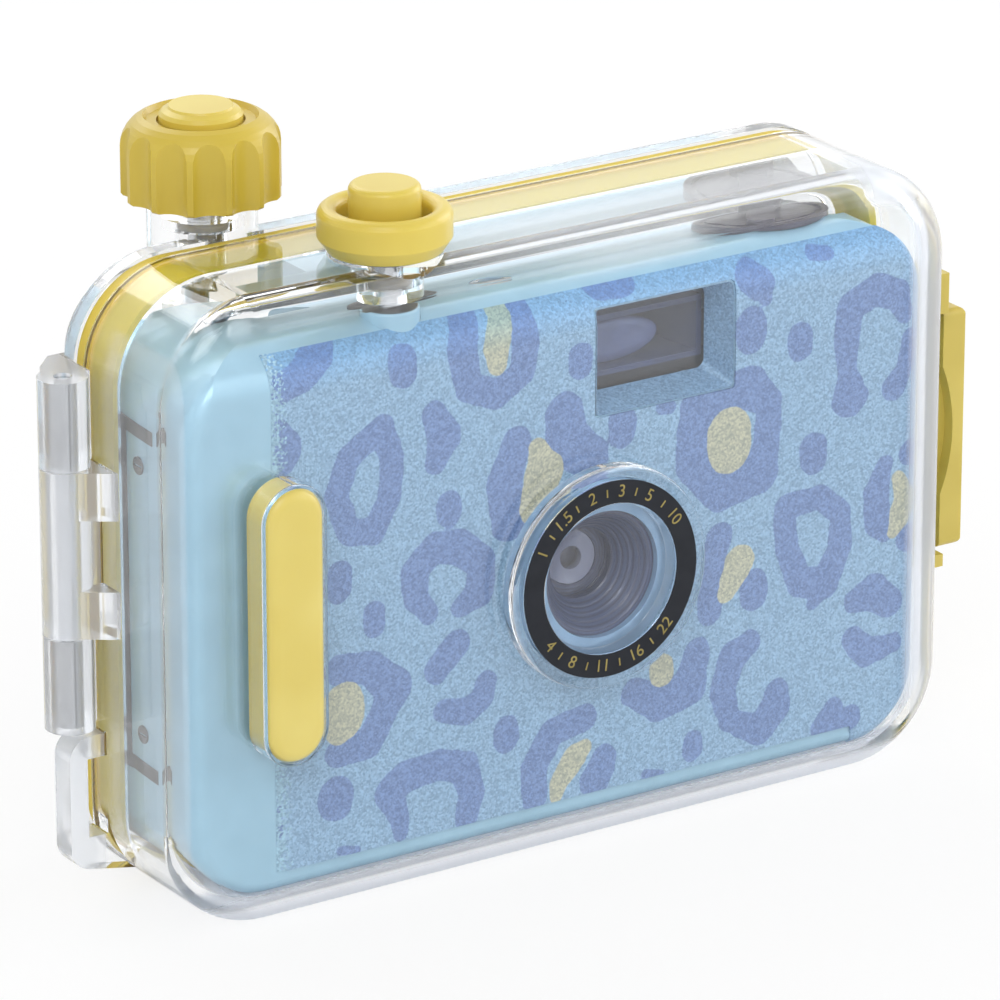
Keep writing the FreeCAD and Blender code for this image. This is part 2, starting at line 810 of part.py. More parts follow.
def lens_element():
    middle = lens_seat + lens_thickness / 2
    reach = lens_curve - lens_thickness / 2
    front_ball = Part.makeSphere(lens_curve, at(port_x, middle + reach, port_z))
    back_ball = Part.makeSphere(lens_curve, at(port_x, middle - reach, port_z))
    sleeve = rod_y(port_x, port_z, lens_seat, lens_seat + lens_thickness, lens_radius - trim_clear)
    return front_ball.common(back_ball).common(sleeve)


def shutter_plate():
    back = barrel_back + shutter_plate_thickness
    plate = rounded_block(shutter_plate_half_width, port_z - shutter_plate_half_height,
                          port_z + shutter_plate_half_height, shutter_plate_corner, barrel_back, back, port_x)
    return plate.cut(rod_y(port_x, port_z, barrel_back - 1, back + 1, aperture_radius))


def blade_place():
    return port_x + blade_pivot_x, port_z + blade_pivot_z


def shutter_blade():
    pivot_x, pivot_z = blade_place()
    front = barrel_back + shutter_plate_thickness + blade_gap
    back = front + blade_thickness
    arm = outline([at(pivot_x - blade_arm, front, pivot_z - blade_arm), at(pivot_x + blade_arm, front, pivot_z),
                   at(port_x + blade_arm, front, port_z + blade_arm), at(port_x - blade_arm, front, port_z)],
                  at(0, blade_thickness, 0))
    blade = arm.fuse(rod_y(port_x, port_z, front, back, blade_disc))
    blade = blade.fuse(rod_y(pivot_x, pivot_z, front, back, blade_eye))
    bore = rod_y(pivot_x, pivot_z, front - 1, back + 1, blade_pin_radius + running_clear)
    return blade.cut(bore).removeSplitter()


def blade_pin():
    pivot_x, pivot_z = blade_place()
    front = barrel_back + shutter_plate_thickness
    return rod_y(pivot_x, pivot_z, front, front + blade_pin_length, blade_pin_radius)


def rear_slice(inset, low, high, front, back, rounding=0.0):
    """A slice of the camera's rear outline between two heights, its back edges rounded if asked."""
    block = rounded_block(rear_half_width - inset, chassis_bottom + inset, deck_top - inset, rear_corner - inset,
                          front, back)
    if rounding > 0:
        block = round_at_y(block, rounding, back)
    return block.common(box(-case_width, case_width, front - 1, back + 1, low, high))


def screw_places():
    low = chassis_bottom + screw_low_inset
    high = chassis_top - screw_high_inset
    left = -rear_half_width + screw_left_inset
    beside_chamber = cartridge_x - cartridge_radius - chamber_clear - screw_chamber_gap
    return [(x, z) for x in (left, beside_chamber) for z in (low, high)]


def chassis():
    low = chassis_bottom
    block = rear_slice(0, low, chassis_top, chassis_front, chassis_back)
    gate = box(port_x - gate_width / 2, port_x + gate_width / 2, chassis_front - 1, chassis_back + 1,
               port_z - gate_height / 2, port_z + gate_height / 2)
    room = cartridge_radius + chamber_clear
    chamber_low = port_z - cartridge_height / 2 - chamber_clear
    chamber_high = port_z + cartridge_height / 2 + chamber_clear
    film_low = port_z - film_height / 2 - chamber_clear
    film_high = port_z + film_height / 2 + chamber_clear
    film_room = box(knob_x - spool_chamber, cartridge_x + room, film_plane - 0.3, chassis_back + 1, film_low,
                    film_high)
    block = block.cut(gate).cut(film_room)
    block = block.cut(rod_z(cartridge_x, cartridge_y, chamber_low, chamber_high, room))
    block = block.cut(box(cartridge_x - room, cartridge_x + room, cartridge_y, chassis_back + 1, chamber_low,
                          chamber_high))
    block = block.cut(rod_z(knob_x, thumb_y, chamber_low, chamber_high, spool_chamber))
    block = block.cut(box(knob_x - spool_chamber, knob_x + spool_chamber, thumb_y, chassis_back + 1, chamber_low,
                          chamber_high))
    block = block.cut(rod_z(sprocket_x, sprocket_y, port_z - film_height / 2 - 1, port_z + film_height / 2 + 1,
                            sprocket_radius + 0.3))
    block = block.cut(box(knob_x, sprocket_x, film_plane - 4.5, chassis_back + 1, film_low, film_high))
    block = block.cut(rod_z(knob_x, thumb_y, low + axle_floor, chassis_top + 1, axle_radius + running_clear))
    block = block.cut(rod_z(sprocket_x, sprocket_y, low + axle_floor, chassis_top + 1,
                            sprocket_axle + running_clear))
    block = block.cut(rod_z(cartridge_x, cartridge_y, low + axle_floor, chassis_top + 1,
                            fork_half_width + running_clear))
    half_width = shutter_plate_half_width + shutter_room_side
    half_height = shutter_plate_half_height + shutter_room_side
    shutter_room = box(port_x - half_width, port_x + half_width, chassis_front - 1,
                       barrel_back + shutter_room_depth, port_z - half_height, port_z + half_height)
    block = block.cut(shutter_room)
    slide_floor = rear_half_width + catch_stand_out - catch_slide - trim_clear
    slide_room = catch_half_height + catch_travel
    block = block.cut(box(slide_floor, rear_half_width + 1, cover_back + catch_front_gap - 0.1,
                          chassis_back - catch_back_gap + 0.1, port_z - slide_room, port_z + slide_room))
    for x, z in screw_places():
        seat = chassis_front + screw_floor
        block = block.cut(rod_y(x, z, chassis_front - 1, seat + 1, screw_radius + running_clear))
        block = block.cut(rod_y(x, z, seat, chassis_back + 1, screw_head + running_clear))
    return block.removeSplitter()


def screws():
    pieces = []
    for x, z in screw_places():
        seat = chassis_front + screw_floor
        shank = rod_y(x, z, camera_front + screw_tip, seat, screw_radius)
        head = rod_y(x, z, seat, seat + screw_head_height, screw_head)
        pieces.append(shank.fuse(head).removeSplitter())
    return Part.makeCompound(pieces)


def top_deck():
    low = chassis_top + deck_gap
    outer = rear_slice(0, low, deck_top, deck_front, door_back, rear_round)
    inner = rear_slice(deck_wall, low + deck_wall, deck_top, deck_front - 1, door_back - deck_wall)
    deck = outer.cut(inner)
    notch_left = knob_x - notch_left_room
    notch_right = knob_x + notch_right_room
    floor = gear_bottom - notch_floor
    pocket = box(notch_left - deck_wall, notch_right + deck_wall, deck_front, door_back - notch_back,
                 floor - deck_wall, deck_top)
    deck = deck.fuse(pocket.common(outer)).cut(box(notch_left, notch_right, deck_front - 1, door_back + 1, floor,
                                                   deck_top + 1))
    deck = deck.cut(box(finder_x - eyepiece_half_width, finder_x + eyepiece_half_width, deck_front, door_back + 1,
                        finder_z - eyepiece_half_height, finder_z + eyepiece_half_height))
    tunnel_half = finder_half_width - 1.5
    return deck.cut(box(finder_x - tunnel_half, finder_x + tunnel_half, deck_front - 1, door_back - deck_wall,
                        low - 1, low + deck_wall + 1)).removeSplitter()


def film_door():
    front = chassis_back + door_gap
    return rear_slice(0, chassis_bottom, chassis_top, front, door_back, rear_round)


def film_catch():
    """The slide on the camera's right side that holds its film door."""
    return rounded_block(catch_slide / 2, port_z - catch_half_height, port_z + catch_half_height, catch_slide * 0.4,
                         cover_back + catch_front_gap, chassis_back - catch_back_gap,
                         rear_half_width + catch_stand_out - catch_slide / 2)


def finder_pane(front, thickness, half_width, half_height, lap):
    return box(finder_x - half_width - lap, finder_x + half_width + lap, front, front + thickness,
               finder_z - half_height - lap, finder_z + half_height + lap)


def finder_tunnel():
    front = camera_front + finder_depth + finder_glass + 0.1
    back = door_back - deck_wall - eyepiece_thickness - 0.1
    walls = []
    for grow in (tunnel_wall, 0.0):
        sides = []
        wide = finder_half_width - tunnel_wall
        tall = finder_half_height - tunnel_wall - tunnel_inset
        for y, half_width, half_height in ((front, wide, tall), (back, eyepiece_half_width, eyepiece_half_height)):
            left = finder_x - half_width - grow
            right = finder_x + half_width + grow
            low = finder_z - half_height - grow
            high = finder_z + half_height + grow
            corners = [at(left, y, low), at(right, y, low), at(right, y, high), at(left, y, high)]
            sides.append(Part.makePolygon(corners + [corners[0]]))
        walls.append(Part.makeLoft(sides, True, True))
    return walls[0].cut(walls[1])


def film_cartridge():
    low = port_z - cartridge_height / 2
    high = port_z + cartridge_height / 2
    can = rod_z(cartridge_x, cartridge_y, low + 1.5, high - 1.5, cartridge_radius - 0.4)
    caps = rod_z(cartridge_x, cartridge_y, low, low + 1.5, cartridge_radius)
    caps = caps.fuse(rod_z(cartridge_x, cartridge_y, high - 1.5, high, cartridge_radius))
    lip_y = film_plane - 1.0
    lip = box(cartridge_x - cartridge_radius + 1.0, cartridge_x - cartridge_radius + 4.5, cartridge_y + 6,
              lip_y, low + 1.5, high - 1.5)
    body = can.fuse(caps).fuse(lip)
    hub = fork_half_width + fork_half_depth / 2
    return body.cut(rod_z(cartridge_x, cartridge_y, high - fork_reach - 2 * fork_tip, high + 1, hub)).removeSplitter()


def film_strip():
    """Film from the cartridge's lip along the gate, then straight to the coil on the take-up spool."""
    low = port_z - film_height / 2
    right = cartridge_x - cartridge_radius + 3.0
    bend_x = sprocket_x - film_bend
    coil_radius = spool_radius + coil_thickness
    reach = math.hypot(bend_x - knob_x, film_plane - thumb_y)
    turn = math.atan2(film_plane - thumb_y, bend_x - knob_x) + math.acos((coil_radius - 0.1) / reach)
    touch_x = knob_x + (coil_radius - 0.1) * math.cos(turn)
    touch_y = thumb_y + (coil_radius - 0.1) * math.sin(turn)
    back_x = film_thickness * math.cos(turn)
    back_y = film_thickness * math.sin(turn)
    strip = outline([at(right, film_plane, low), at(bend_x, film_plane, low), at(touch_x, touch_y, low),
                     at(touch_x + back_x, touch_y + back_y, low), at(bend_x, film_plane + film_thickness, low),
                     at(right, film_plane + film_thickness, low)], at(0, 0, film_height))
    coil = tube_z(knob_x, thumb_y, low, low + film_height, coil_radius, spool_radius + 0.15)
    return strip.fuse(coil).removeSplitter()


def leaf_front():
    return chassis_back - 3 * leaf_thickness


def pressure_plate():
    half_width = gate_width / 2 + pressure_side
    return rounded_block(half_width, port_z - pressure_half_height, port_z + pressure_half_height, pressure_corner,
                         film_plane + film_thickness + pressure_gap, leaf_front(), port_x)


def pressure_spring():
    front = leaf_front()
    low = port_z - leaf_half_height
    high = port_z + leaf_half_height
    leaf = box(port_x - leaf_half_width, port_x + leaf_half_width, front, front + leaf_thickness, low, high)
    for start in (-leaf_half_width, leaf_half_width - leaf_foot):
        leaf = leaf.fuse(box(port_x + start, port_x + start + leaf_foot, front, chassis_back + door_gap, low, high))
    return leaf.removeSplitter()


def take_up_spool():
    low = port_z - film_height / 2 - spool_flange_gap
    high = port_z + film_height / 2 + spool_flange_gap
    body = rod_z(knob_x, thumb_y, low, high, spool_radius)
    for z in (low - 1.0, high):
        body = body.fuse(rod_z(knob_x, thumb_y, z, z + 1.0, spool_chamber - spool_flange_gap))
    axle = rod_z(knob_x, thumb_y, chassis_bottom + axle_floor + axle_gap, gear_bottom, axle_radius)
    stub = rod_z(knob_x, thumb_y, gear_bottom, gear_top + thumb_hub_rise, thumb_bore)
    return body.fuse(axle).fuse(stub).removeSplitter()


def thumbwheel():
    wheel = gear(knob_x, thumb_y, thumb_teeth, thumb_bore, 90.0)
    hub = tube_z(knob_x, thumb_y, gear_bottom, gear_top + thumb_hub_rise, thumb_hub, thumb_bore)
    return wheel.fuse(hub).removeSplitter()


def sprocket():
    low = port_z - film_height / 2
    high = port_z + film_height / 2
    shaft = rod_z(sprocket_x, sprocket_y, chassis_bottom + axle_floor + axle_gap, chassis_top - axle_gap,
                  sprocket_axle)
    reach = sprocket_radius - sprocket_tooth
    for z in (low + sprocket_rim, high - sprocket_rim - sprocket_rim_height):
        wheel = rod_z(sprocket_x, sprocket_y, z, z + sprocket_rim_height, reach)
        for tooth in range(sprocket_teeth):
            angle = 2 * math.pi * (tooth + 0.5) / sprocket_teeth
            x = sprocket_x + (reach - 0.05) * math.cos(angle)
            y = sprocket_y + (reach - 0.05) * math.sin(angle)
            wheel = wheel.fuse(rod_z(x, y, z + 0.4, z + sprocket_rim_height - 0.4, sprocket_tooth))
        shaft = shaft.fuse(wheel)
    return shaft.fuse(rod_z(sprocket_x, sprocket_y, low, high, sprocket_core)).removeSplitter()


def rewind_disc():
    disc = rod_z(cartridge_x, cartridge_y, crank_bottom, crank_top, crank_radius)
    disc = disc.cut(tube_z(cartridge_x, cartridge_y, crank_top - 0.4, crank_top, crank_radius - 1.0,
                           crank_radius - 1.8))
    return disc.cut(rod_z(cartridge_x, cartridge_y, crank_bottom - 1, crank_bottom + crank_seat, fork_radius))


def crank_handle():
    length = crank_radius - 0.6
    bar = pill(0, 0, 2.0, length, 0, crank_bar * 0.6)
    bar.rotate(at(0, 0, 0), X_AXIS, -90)
    bar.translate(at(cartridge_x, cartridge_y, crank_top + crank_bar * 0.6))
    bar.rotate(at(cartridge_x, cartridge_y, 0), Z_AXIS, -33)
    turn = math.radians(90 - 33)
    grip = rod_z(cartridge_x + (length - 3.4) * math.cos(turn), cartridge_y + (length - 3.4) * math.sin(turn),
                 crank_top, crank_top + crank_bar * 1.6, 3.0)
    limits = bar.BoundBox
    bar.translate(at(0, 0, crank_top - limits.ZMin))
    return bar.fuse(grip).removeSplitter()


def rewind_fork():
    high = port_z + cartridge_height / 2
    shaft = rod_z(cartridge_x, cartridge_y, high - fork_reach, crank_bottom + crank_seat, fork_radius)
    blade = box(cartridge_x - fork_half_width, cartridge_x + fork_half_width, cartridge_y - fork_half_depth,
                cartridge_y + fork_half_depth, high - fork_reach - fork_tip, high - fork_reach)
    return shaft.fuse(blade).removeSplitter()


def counter_height():
    return camera_top - cover_wall - counter_gap_above - counter_thickness


def counter_dial():
    low = counter_height()
    dial = rod_z(counter_x, counter_y, low, low + counter_thickness, counter_radius)
    return dial.fuse(rod_z(counter_x, counter_y, low - counter_axle_length, low, counter_axle)).removeSplitter()


def counter_bridge():
    high = counter_height() - bridge_gap
    low = high - bridge_wall
    far = counter_x + bridge_reach
    front = counter_y - bridge_half_width
    back = counter_y + bridge_half_width
    plate = box(counter_x - bridge_half_width, far, front, back, low, high)
    leg = box(far - bridge_wall, far, front, back, low, camera_top - cover_wall)
    return plate.fuse(leg).cut(rod_z(counter_x, counter_y, low - 1, high + 1, counter_axle + running_clear))


def camera_button():
    high = camera_top + camera_button_stand
    low = high - camera_button_length
    button = rod_z(button_x, button_y, low, high, camera_button_radius)
    button = round_at_z(button, 0.4, high)
    return button.fuse(rod_z(button_x, button_y, low - button_stem_length, low, button_stem_radius)).removeSplitter()


def button_spring():
    """The leaf that carries the camera's button and pushes it up again."""
    stem_bottom = camera_top + camera_button_stand - camera_button_length - button_stem_length
    high = stem_bottom - button_travel - button_leaf_gap
    front = button_y - button_leaf_half
    back = button_y + button_leaf_half
    end = button_x + button_leaf_reach
    leaf = box(button_x - button_leaf_half, end, front, back, high - button_leaf_wall, high)
    post = box(end - button_leaf_foot, end, back - button_leaf_foot / 2, back, high, camera_top - cover_wall)
    return leaf.fuse(post).removeSplitter()


def ear_bottoms():
    reach = lever_height / 2 + latch_clear
    return [latch_middle - reach - ear_height, latch_middle + reach]


def latch_lever():
    """The outer lever: a wall over the link, a bar across its free end and a cheek at each end of its pivot."""
    low = latch_middle - lever_height / 2
    high = latch_middle + lever_height / 2
    back = link_pivot_y + link_eye
    shoulder = lever_pivot_y + lever_eye
    wall = box(lever_inner, lever_side, lever_front, shoulder, low, high)
    bar = box(link_side + link_thickness + latch_clear, lever_side, lever_front, lever_front + lever_bar, low, high)
    lever = wall.fuse(bar)
    for z in (low, high - lever_cheek):
        cheek = outline([at(lever_pivot_x, lever_pivot_y - lever_eye, z), at(lever_side, lever_pivot_y - lever_eye, z),
                         at(lever_side, shoulder, z), at(link_pivot_x + 1.2, back, z), at(lever_pivot_x, back, z)],
                        at(0, 0, lever_cheek))
        cheek = cheek.fuse(rod_z(lever_pivot_x, lever_pivot_y, z, z + lever_cheek, lever_eye))
        lever = lever.fuse(cheek)
    lever = lever.removeSplitter()
    picked = []
    for edge in lever.Edges:
        limits = edge.BoundBox
        at_end = abs(limits.ZLength) < 1e-6 and min(abs(limits.ZMin - low), abs(limits.ZMin - high)) < 1e-4
        along_front = abs(limits.YMax - lever_front) < 1e-4
        along_side = abs(limits.XMin - lever_side) < 1e-4
        if at_end and (along_front or along_side):
            picked.append(edge)
    lever = lever.makeFillet(lever_round, picked)
    scoop_half = scoop_height / 2
    scoop_radius = (scoop_half ** 2 + scoop_depth ** 2) / (2 * scoop_depth)
    inner = link_side + link_thickness + latch_clear
    lever = lever.cut(rod_y(inner + scoop_depth - scoop_radius, latch_middle, lever_front - 1,
                            lever_front + scoop_reach, scoop_radius))
    rib_half = lever_rib / 2
    lever = lever.fuse(box(lever_side - 0.2, lever_side + 0.5, lever_front + 2, lever_front + 9,
                           latch_middle - rib_half, latch_middle + rib_half))
    lever = lever.cut(rod_z(lever_pivot_x, lever_pivot_y, low - 1, high + 1, latch_pin_radius + running_clear))
    return lever.cut(rod_z(link_pivot_x, link_pivot_y, low - 1, high + 1, latch_pin_radius)).removeSplitter()


def latch_link():
    """The inner link: a tongue between the lever's cheeks, widening to a plate that reaches over the catch."""
    low = link_middle - link_height / 2
    high = link_middle + link_height / 2
    front = catch_front - latch_clear - link_lip
    half_tongue = lever_height / 2 - lever_cheek - latch_clear
    plate = box(link_side, link_side + link_thickness, front, link_step, low, high)
    lever_reach = lever_height / 2 + latch_clear
    for tab_low, tab_high in ((low, latch_middle - lever_reach), (latch_middle + lever_reach, high)):
        plate = plate.fuse(box(link_side, link_side + link_thickness, link_tab_front, front + 1, tab_low, tab_high))
    tongue = box(link_side, link_side + link_thickness, link_step - 1, link_pivot_y, latch_middle - half_tongue,
                 latch_middle + half_tongue)
    lip = box(link_side - 0.05, link_side + link_thickness, front, front + link_lip, low + 1.0, high - 1.0)
    eye = rod_z(link_pivot_x, link_pivot_y, latch_middle - half_tongue, latch_middle + half_tongue, link_eye)
    link = plate.fuse(tongue).fuse(lip).fuse(eye)
    link = link.cut(rod_z(link_pivot_x, link_pivot_y, low - 1, high + 1, latch_pin_radius + running_clear))
    return link.removeSplitter()


def latch_pivot_pins():
    """Two short pins, each pressed into an ear and turning in a cheek, so that the link runs between them."""
    low_ear, high_ear = ear_bottoms()
    reach = ear_height + latch_clear + lever_cheek - 0.3
    low_pin = rod_z(lever_pivot_x, lever_pivot_y, low_ear + 0.2, low_ear + 0.2 + reach, latch_pin_radius)
    top = high_ear + ear_height - 0.2
    return Part.makeCompound([low_pin, rod_z(lever_pivot_x, lever_pivot_y, top - reach, top, latch_pin_radius)])


def clip(x, y, z, shaft):
    return tube_z(x, y, z, z + 0.5, shaft + 1.4, shaft)


def main():
    os.makedirs("parts", exist_ok=True)
    save("front_shell", front_shell())
    save("rear_shell", rear_shell())
    save("gasket", gasket())
    save("hinge_pin", rod_z(hinge_x, hinge_back, hinge_bottom + 0.4, hinge_top - 0.4, hinge_pin_radius))
    save("lens_port_ring", tube_y(port_x, port_z, port_front, port_front + ring_thickness - 0.02, ring_outer,
                                  ring_inner))
    grip = pill(grip_x, grip_z, grip_half_width, grip_half_height, front_face - grip_stand,
                front_face + grip_pocket - 0.02)
    save("grip_pad", round_at_y(grip, 1.6, front_face - grip_stand))
    save("shutter_ring", shutter_ring())
    save("shutter_cap", shutter_cap())
    save("shutter_rod", shutter_rod())
    save("shutter_seal", ring_seal(button_x, button_y, seal_middle(), rod_radius + 0.03, seal_section - 0.02))
    save("shutter_spring", shutter_spring())
    save("shutter_clip", clip(button_x, button_y, collar_bottom - 0.6, rod_radius))
    save("wind_knob", wind_knob())
    save("knob_cap", knob_cap())
    save("knob_shaft", rod_z(knob_x, knob_y, gear_bottom - 0.6, knob_top - 1.6, shaft_radius))
    save("knob_seal", ring_seal(knob_x, knob_y, knob_seal_height(), shaft_radius + 0.03, seal_section - 0.02))
    save("knob_clip", clip(knob_x, knob_y, knob_pad_height() - 0.6, shaft_radius))
    save("drive_gear", gear(knob_x, knob_y, drive_teeth, shaft_radius, -90.0 + 180.0 / drive_teeth))
    save("latch_lever", latch_lever())
    save("latch_link", latch_link())
    save("latch_pivot_pins", latch_pivot_pins())
    save("latch_link_pin", rod_z(link_pivot_x, link_pivot_y, latch_middle - lever_height / 2 + 0.2,
                                 latch_middle + lever_height / 2 - 0.2, latch_pin_radius))
    save("front_cover", front_cover())
    save("print_panel", print_panel())
    save("lens_collar", lens_collar())
    save("lens_barrel", lens_barrel())
    save("lens_element", lens_element())
    save("shutter_plate", shutter_plate())
    save("shutter_blade", shutter_blade())
    save("shutter_blade_pin", blade_pin())
    window_front = camera_front + finder_depth
    save("finder_window", finder_pane(camera_front + finder_depth, finder_glass, finder_half_width,
                                      finder_half_height, cover_wall - trim_clear))
    save("finder_tunnel", finder_tunnel())
    save("finder_eyepiece", finder_pane(door_back - deck_wall - eyepiece_thickness, eyepiece_thickness,
                                        eyepiece_half_width, eyepiece_half_height, eyepiece_lap))
    save("chassis", chassis())
    save("chassis_screws", screws())
    save("top_deck", top_deck())
    save("film_door", film_door())
    save("film_door_catch", film_catch())
    save("film_cartridge", film_cartridge())
    save("film_strip", film_strip())
    save("pressure_plate", pressure_plate())
    save("pressure_spring", pressure_spring())
    save("thumbwheel", thumbwheel())
    save("take_up_spool", take_up_spool())
    save("sprocket", sprocket())
    save("rewind_disc", rewind_disc())
    save("crank_handle", crank_handle())
    save("rewind_fork", rewind_fork())
    save("counter_dial", counter_dial())
    save("counter_bridge", counter_bridge())
    save("counter_window", rod_z(counter_x, counter_y, camera_top - cover_wall + 0.1, camera_top - 0.1,
                                  counter_window_radius - trim_clear))
    save("camera_button", camera_button())
    save("button_spring", button_spring())


main()
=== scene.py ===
# Clear waterproof case with a small film camera in it, dressed for rendering
import bpy
import bmesh
import json
import math
from mathutils import Matrix, Vector


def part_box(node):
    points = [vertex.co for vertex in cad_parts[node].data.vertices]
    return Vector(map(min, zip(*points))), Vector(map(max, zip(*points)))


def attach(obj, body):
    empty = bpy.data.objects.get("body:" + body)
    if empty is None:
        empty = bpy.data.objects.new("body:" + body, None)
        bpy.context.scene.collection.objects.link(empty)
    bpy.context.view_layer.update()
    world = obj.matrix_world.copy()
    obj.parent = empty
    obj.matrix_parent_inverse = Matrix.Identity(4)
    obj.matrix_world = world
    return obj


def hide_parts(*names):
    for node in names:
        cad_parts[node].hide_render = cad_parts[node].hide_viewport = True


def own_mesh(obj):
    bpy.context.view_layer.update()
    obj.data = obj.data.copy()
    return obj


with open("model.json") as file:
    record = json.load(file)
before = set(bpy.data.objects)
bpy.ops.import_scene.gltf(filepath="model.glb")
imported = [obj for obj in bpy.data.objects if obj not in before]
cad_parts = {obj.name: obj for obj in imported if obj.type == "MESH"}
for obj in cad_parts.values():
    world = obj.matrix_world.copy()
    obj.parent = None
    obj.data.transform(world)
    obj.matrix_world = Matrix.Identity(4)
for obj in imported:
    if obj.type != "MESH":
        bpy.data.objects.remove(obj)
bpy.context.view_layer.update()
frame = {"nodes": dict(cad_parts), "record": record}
nodes = frame["nodes"]
mm = 0.001  # sizes below are in millimetres
lensCentre = (4.2, 38.7)  # x and z of the lens and of the port round it
white = (1, 1, 1, 1)

bpy.context.scene.view_settings.view_transform = "Standard"

bounceSettings = {  # light turns many times inside thick clear edges
    "max_bounces": 32, "glossy_bounces": 24, "transmission_bounces": 32, "transparent_max_bounces": 32,
}
for setting, count in bounceSettings.items():
    setattr(bpy.context.scene.cycles, setting, count)


cameraSettings = {
    "target": (-3.8, -12.5, 47.0),
    "turn": -33.3,      # degrees to the left of straight on
    "lift": 20.5,       # degrees above level
    "distance": 950.0,
    "lens": 254.8,
    "sensor": 36.0,
    "photoSide": 1000,  # pixels along each side of the photograph
    "clip": (0.05, 20),  # metres
}


def cameraAxes():
    turn = math.radians(cameraSettings["turn"])
    lift = math.radians(cameraSettings["lift"])
    away = Vector((math.sin(turn) * math.cos(lift), -math.cos(turn) * math.cos(lift), math.sin(lift)))
    right = Vector((math.cos(turn), math.sin(turn), 0))
    return away, right, away.cross(right)


def addCamera():
    away, right, up = cameraAxes()
    target = Vector(cameraSettings["target"])
    data = bpy.data.cameras.new("photoCamera")
    data.lens = cameraSettings["lens"]
    data.sensor_width = cameraSettings["sensor"]
    data.clip_start, data.clip_end = cameraSettings["clip"]
    camera = bpy.data.objects.new("photoCamera", data)
    bpy.context.collection.objects.link(camera)
    camera.location = (target + away * cameraSettings["distance"]) * mm
    camera.rotation_euler = (-away).to_track_quat("-Z", "Y").to_euler()
    bpy.context.scene.camera = camera


def focalPixels():
    return cameraSettings["lens"] / cameraSettings["sensor"] * cameraSettings["photoSide"]


# Where the photo pixel falls on the upright plane at this y, in mm
def seenOn(px, py, y):
    away, right, up = cameraAxes()
    focal = focalPixels()
    half = cameraSettings["photoSide"] / 2
    eye = Vector(cameraSettings["target"]) + away * cameraSettings["distance"]
    ray = right * ((px - half) / focal) - up * ((py - half) / focal) - away
    return eye + ray * ((y - eye.y) / ray.y)


addCamera()


# A shader node; each input takes a plain value or another node's output
def addNode(tree, kind, inputs, **settings):
    node = tree.nodes.new("ShaderNode" + kind)
    for name, value in settings.items():
        setattr(node, name, value)
    for key, value in inputs.items():
        if isinstance(value, bpy.types.NodeSocket):
            tree.links.new(value, node.inputs[key])
        else:
            node.inputs[key].default_value = value
    return node


def addMath(tree, operation, *values, clamp=False):
    return addNode(tree, "Math", dict(enumerate(values)), operation=operation, use_clamp=clamp).outputs[0]


def addMix(tree, factor, first, second, blend="MIX"):
    inputs = {"Factor": factor, "A": first, "B": second}
    return addNode(tree, "Mix", inputs, data_type="RGBA", blend_type=blend).outputs["Result"]


# Rises from 0 to 1 between these two places, in mm
def addRise(tree, value, start, end, interpolation="LINEAR"):
    inputs = {"Value": value, "From Min": start * mm, "From Max": end * mm}
    return addNode(tree, "MapRange", inputs, interpolation_type=interpolation).outputs["Result"]


# Colours laid along a factor, each stop a place from 0 to 1 and a colour
def addRamp(tree, factor, stops):
    node = addNode(tree, "ValToRGB", {0: factor})
    first, *middle, last = stops
    for element, (place, tone) in zip(node.color_ramp.elements, (first, last)):
        element.position = place
        element.color = tone
    for place, tone in middle:
        node.color_ramp.elements.new(place).color = tone
    return node.outputs[0]


def addBump(tree, bsdf, height, strength, depth):
    bump = addNode(tree, "Bump", {"Strength": strength, "Distance": depth * mm, "Height": height})
    tree.links.new(bump.outputs["Normal"], bsdf.inputs["Normal"])


def addNoise(tree, size, detail):
    inputs = {"Scale": 1 / (size * mm), "Detail": detail, "Vector": coordsOf(tree, "Object")}
    return addNode(tree, "TexNoise", inputs).outputs["Fac"]


def coordsOf(tree, kind):
    return tree.nodes.new("ShaderNodeTexCoord").outputs[kind]


def axesOf(tree, kind="Object"):
    return addNode(tree, "SeparateXYZ", {0: coordsOf(tree, kind)}).outputs


# The first shader where the factor is 0, the second where it is 1
def blendShaders(tree, factor, first, second):
    return addNode(tree, "MixShader", {0: factor, 1: first.outputs[0], 2: second.outputs[0]})


def newFinish(name):
    mat = bpy.data.materials.new(name)
    mat.use_nodes = True
    return mat, mat.node_tree, mat.node_tree.nodes["Principled BSDF"]


# Runs one of Blender's add operators at the origin and gives back what it made
def added(operator, **settings):
    bpy.ops.object.select_all(action="DESELECT")
    operator(location=(0, 0, 0), **settings)
    return bpy.context.object


def thicken(thing, wall, offset):
    solid = thing.modifiers.new("wall", "SOLIDIFY")
    solid.thickness = wall * mm
    solid.offset = offset
    bpy.ops.object.modifier_apply(modifier=solid.name)


def smoothUnder(degrees):
    bpy.ops.object.shade_smooth_by_angle(angle=math.radians(degrees))


roomSettings = {
    "floorSize": 6.0,
    "floorGrey": 0.93,
    "floorRough": 0.9,
    "floorGloss": 0.1,
    "floorGlow": 0.80,      # how much of the floor's white is its own light, as the camera sees it
    "skyStrength": 0.60,
    "skyTint": (0.97, 0.985, 1.0, 1),
    "skyPeak": 1.45,
    # how bright gloss and clear plastic find each height, 0 level to 1 overhead
    "skyBands": (
        (0.0, 0.60), (0.08, 0.72), (0.16, 0.86), (0.50, 0.86), (0.58, 1.0), (0.70, 0.52), (0.86, 0.42),
        (1.0, 0.55),
    ),
}
lampSettings = {
    "key": {"place": (-0.55, -0.75, 0.95), "aim": (0, 0, 0.04), "size": 0.7, "watts": 5.2},
    "fill": {"place": (0.9, -0.8, 0.5), "aim": (0, 0, 0.04), "size": 0.9, "watts": 2.7},
    "back": {"place": (0.1, 0.9, 0.9), "aim": (0, 0, 0.04), "size": 0.8, "watts": 4.0},
    "side": {"place": (1.1, 0.05, 0.4), "aim": (0, 0, 0.04), "size": 0.7, "watts": 4.0},
}


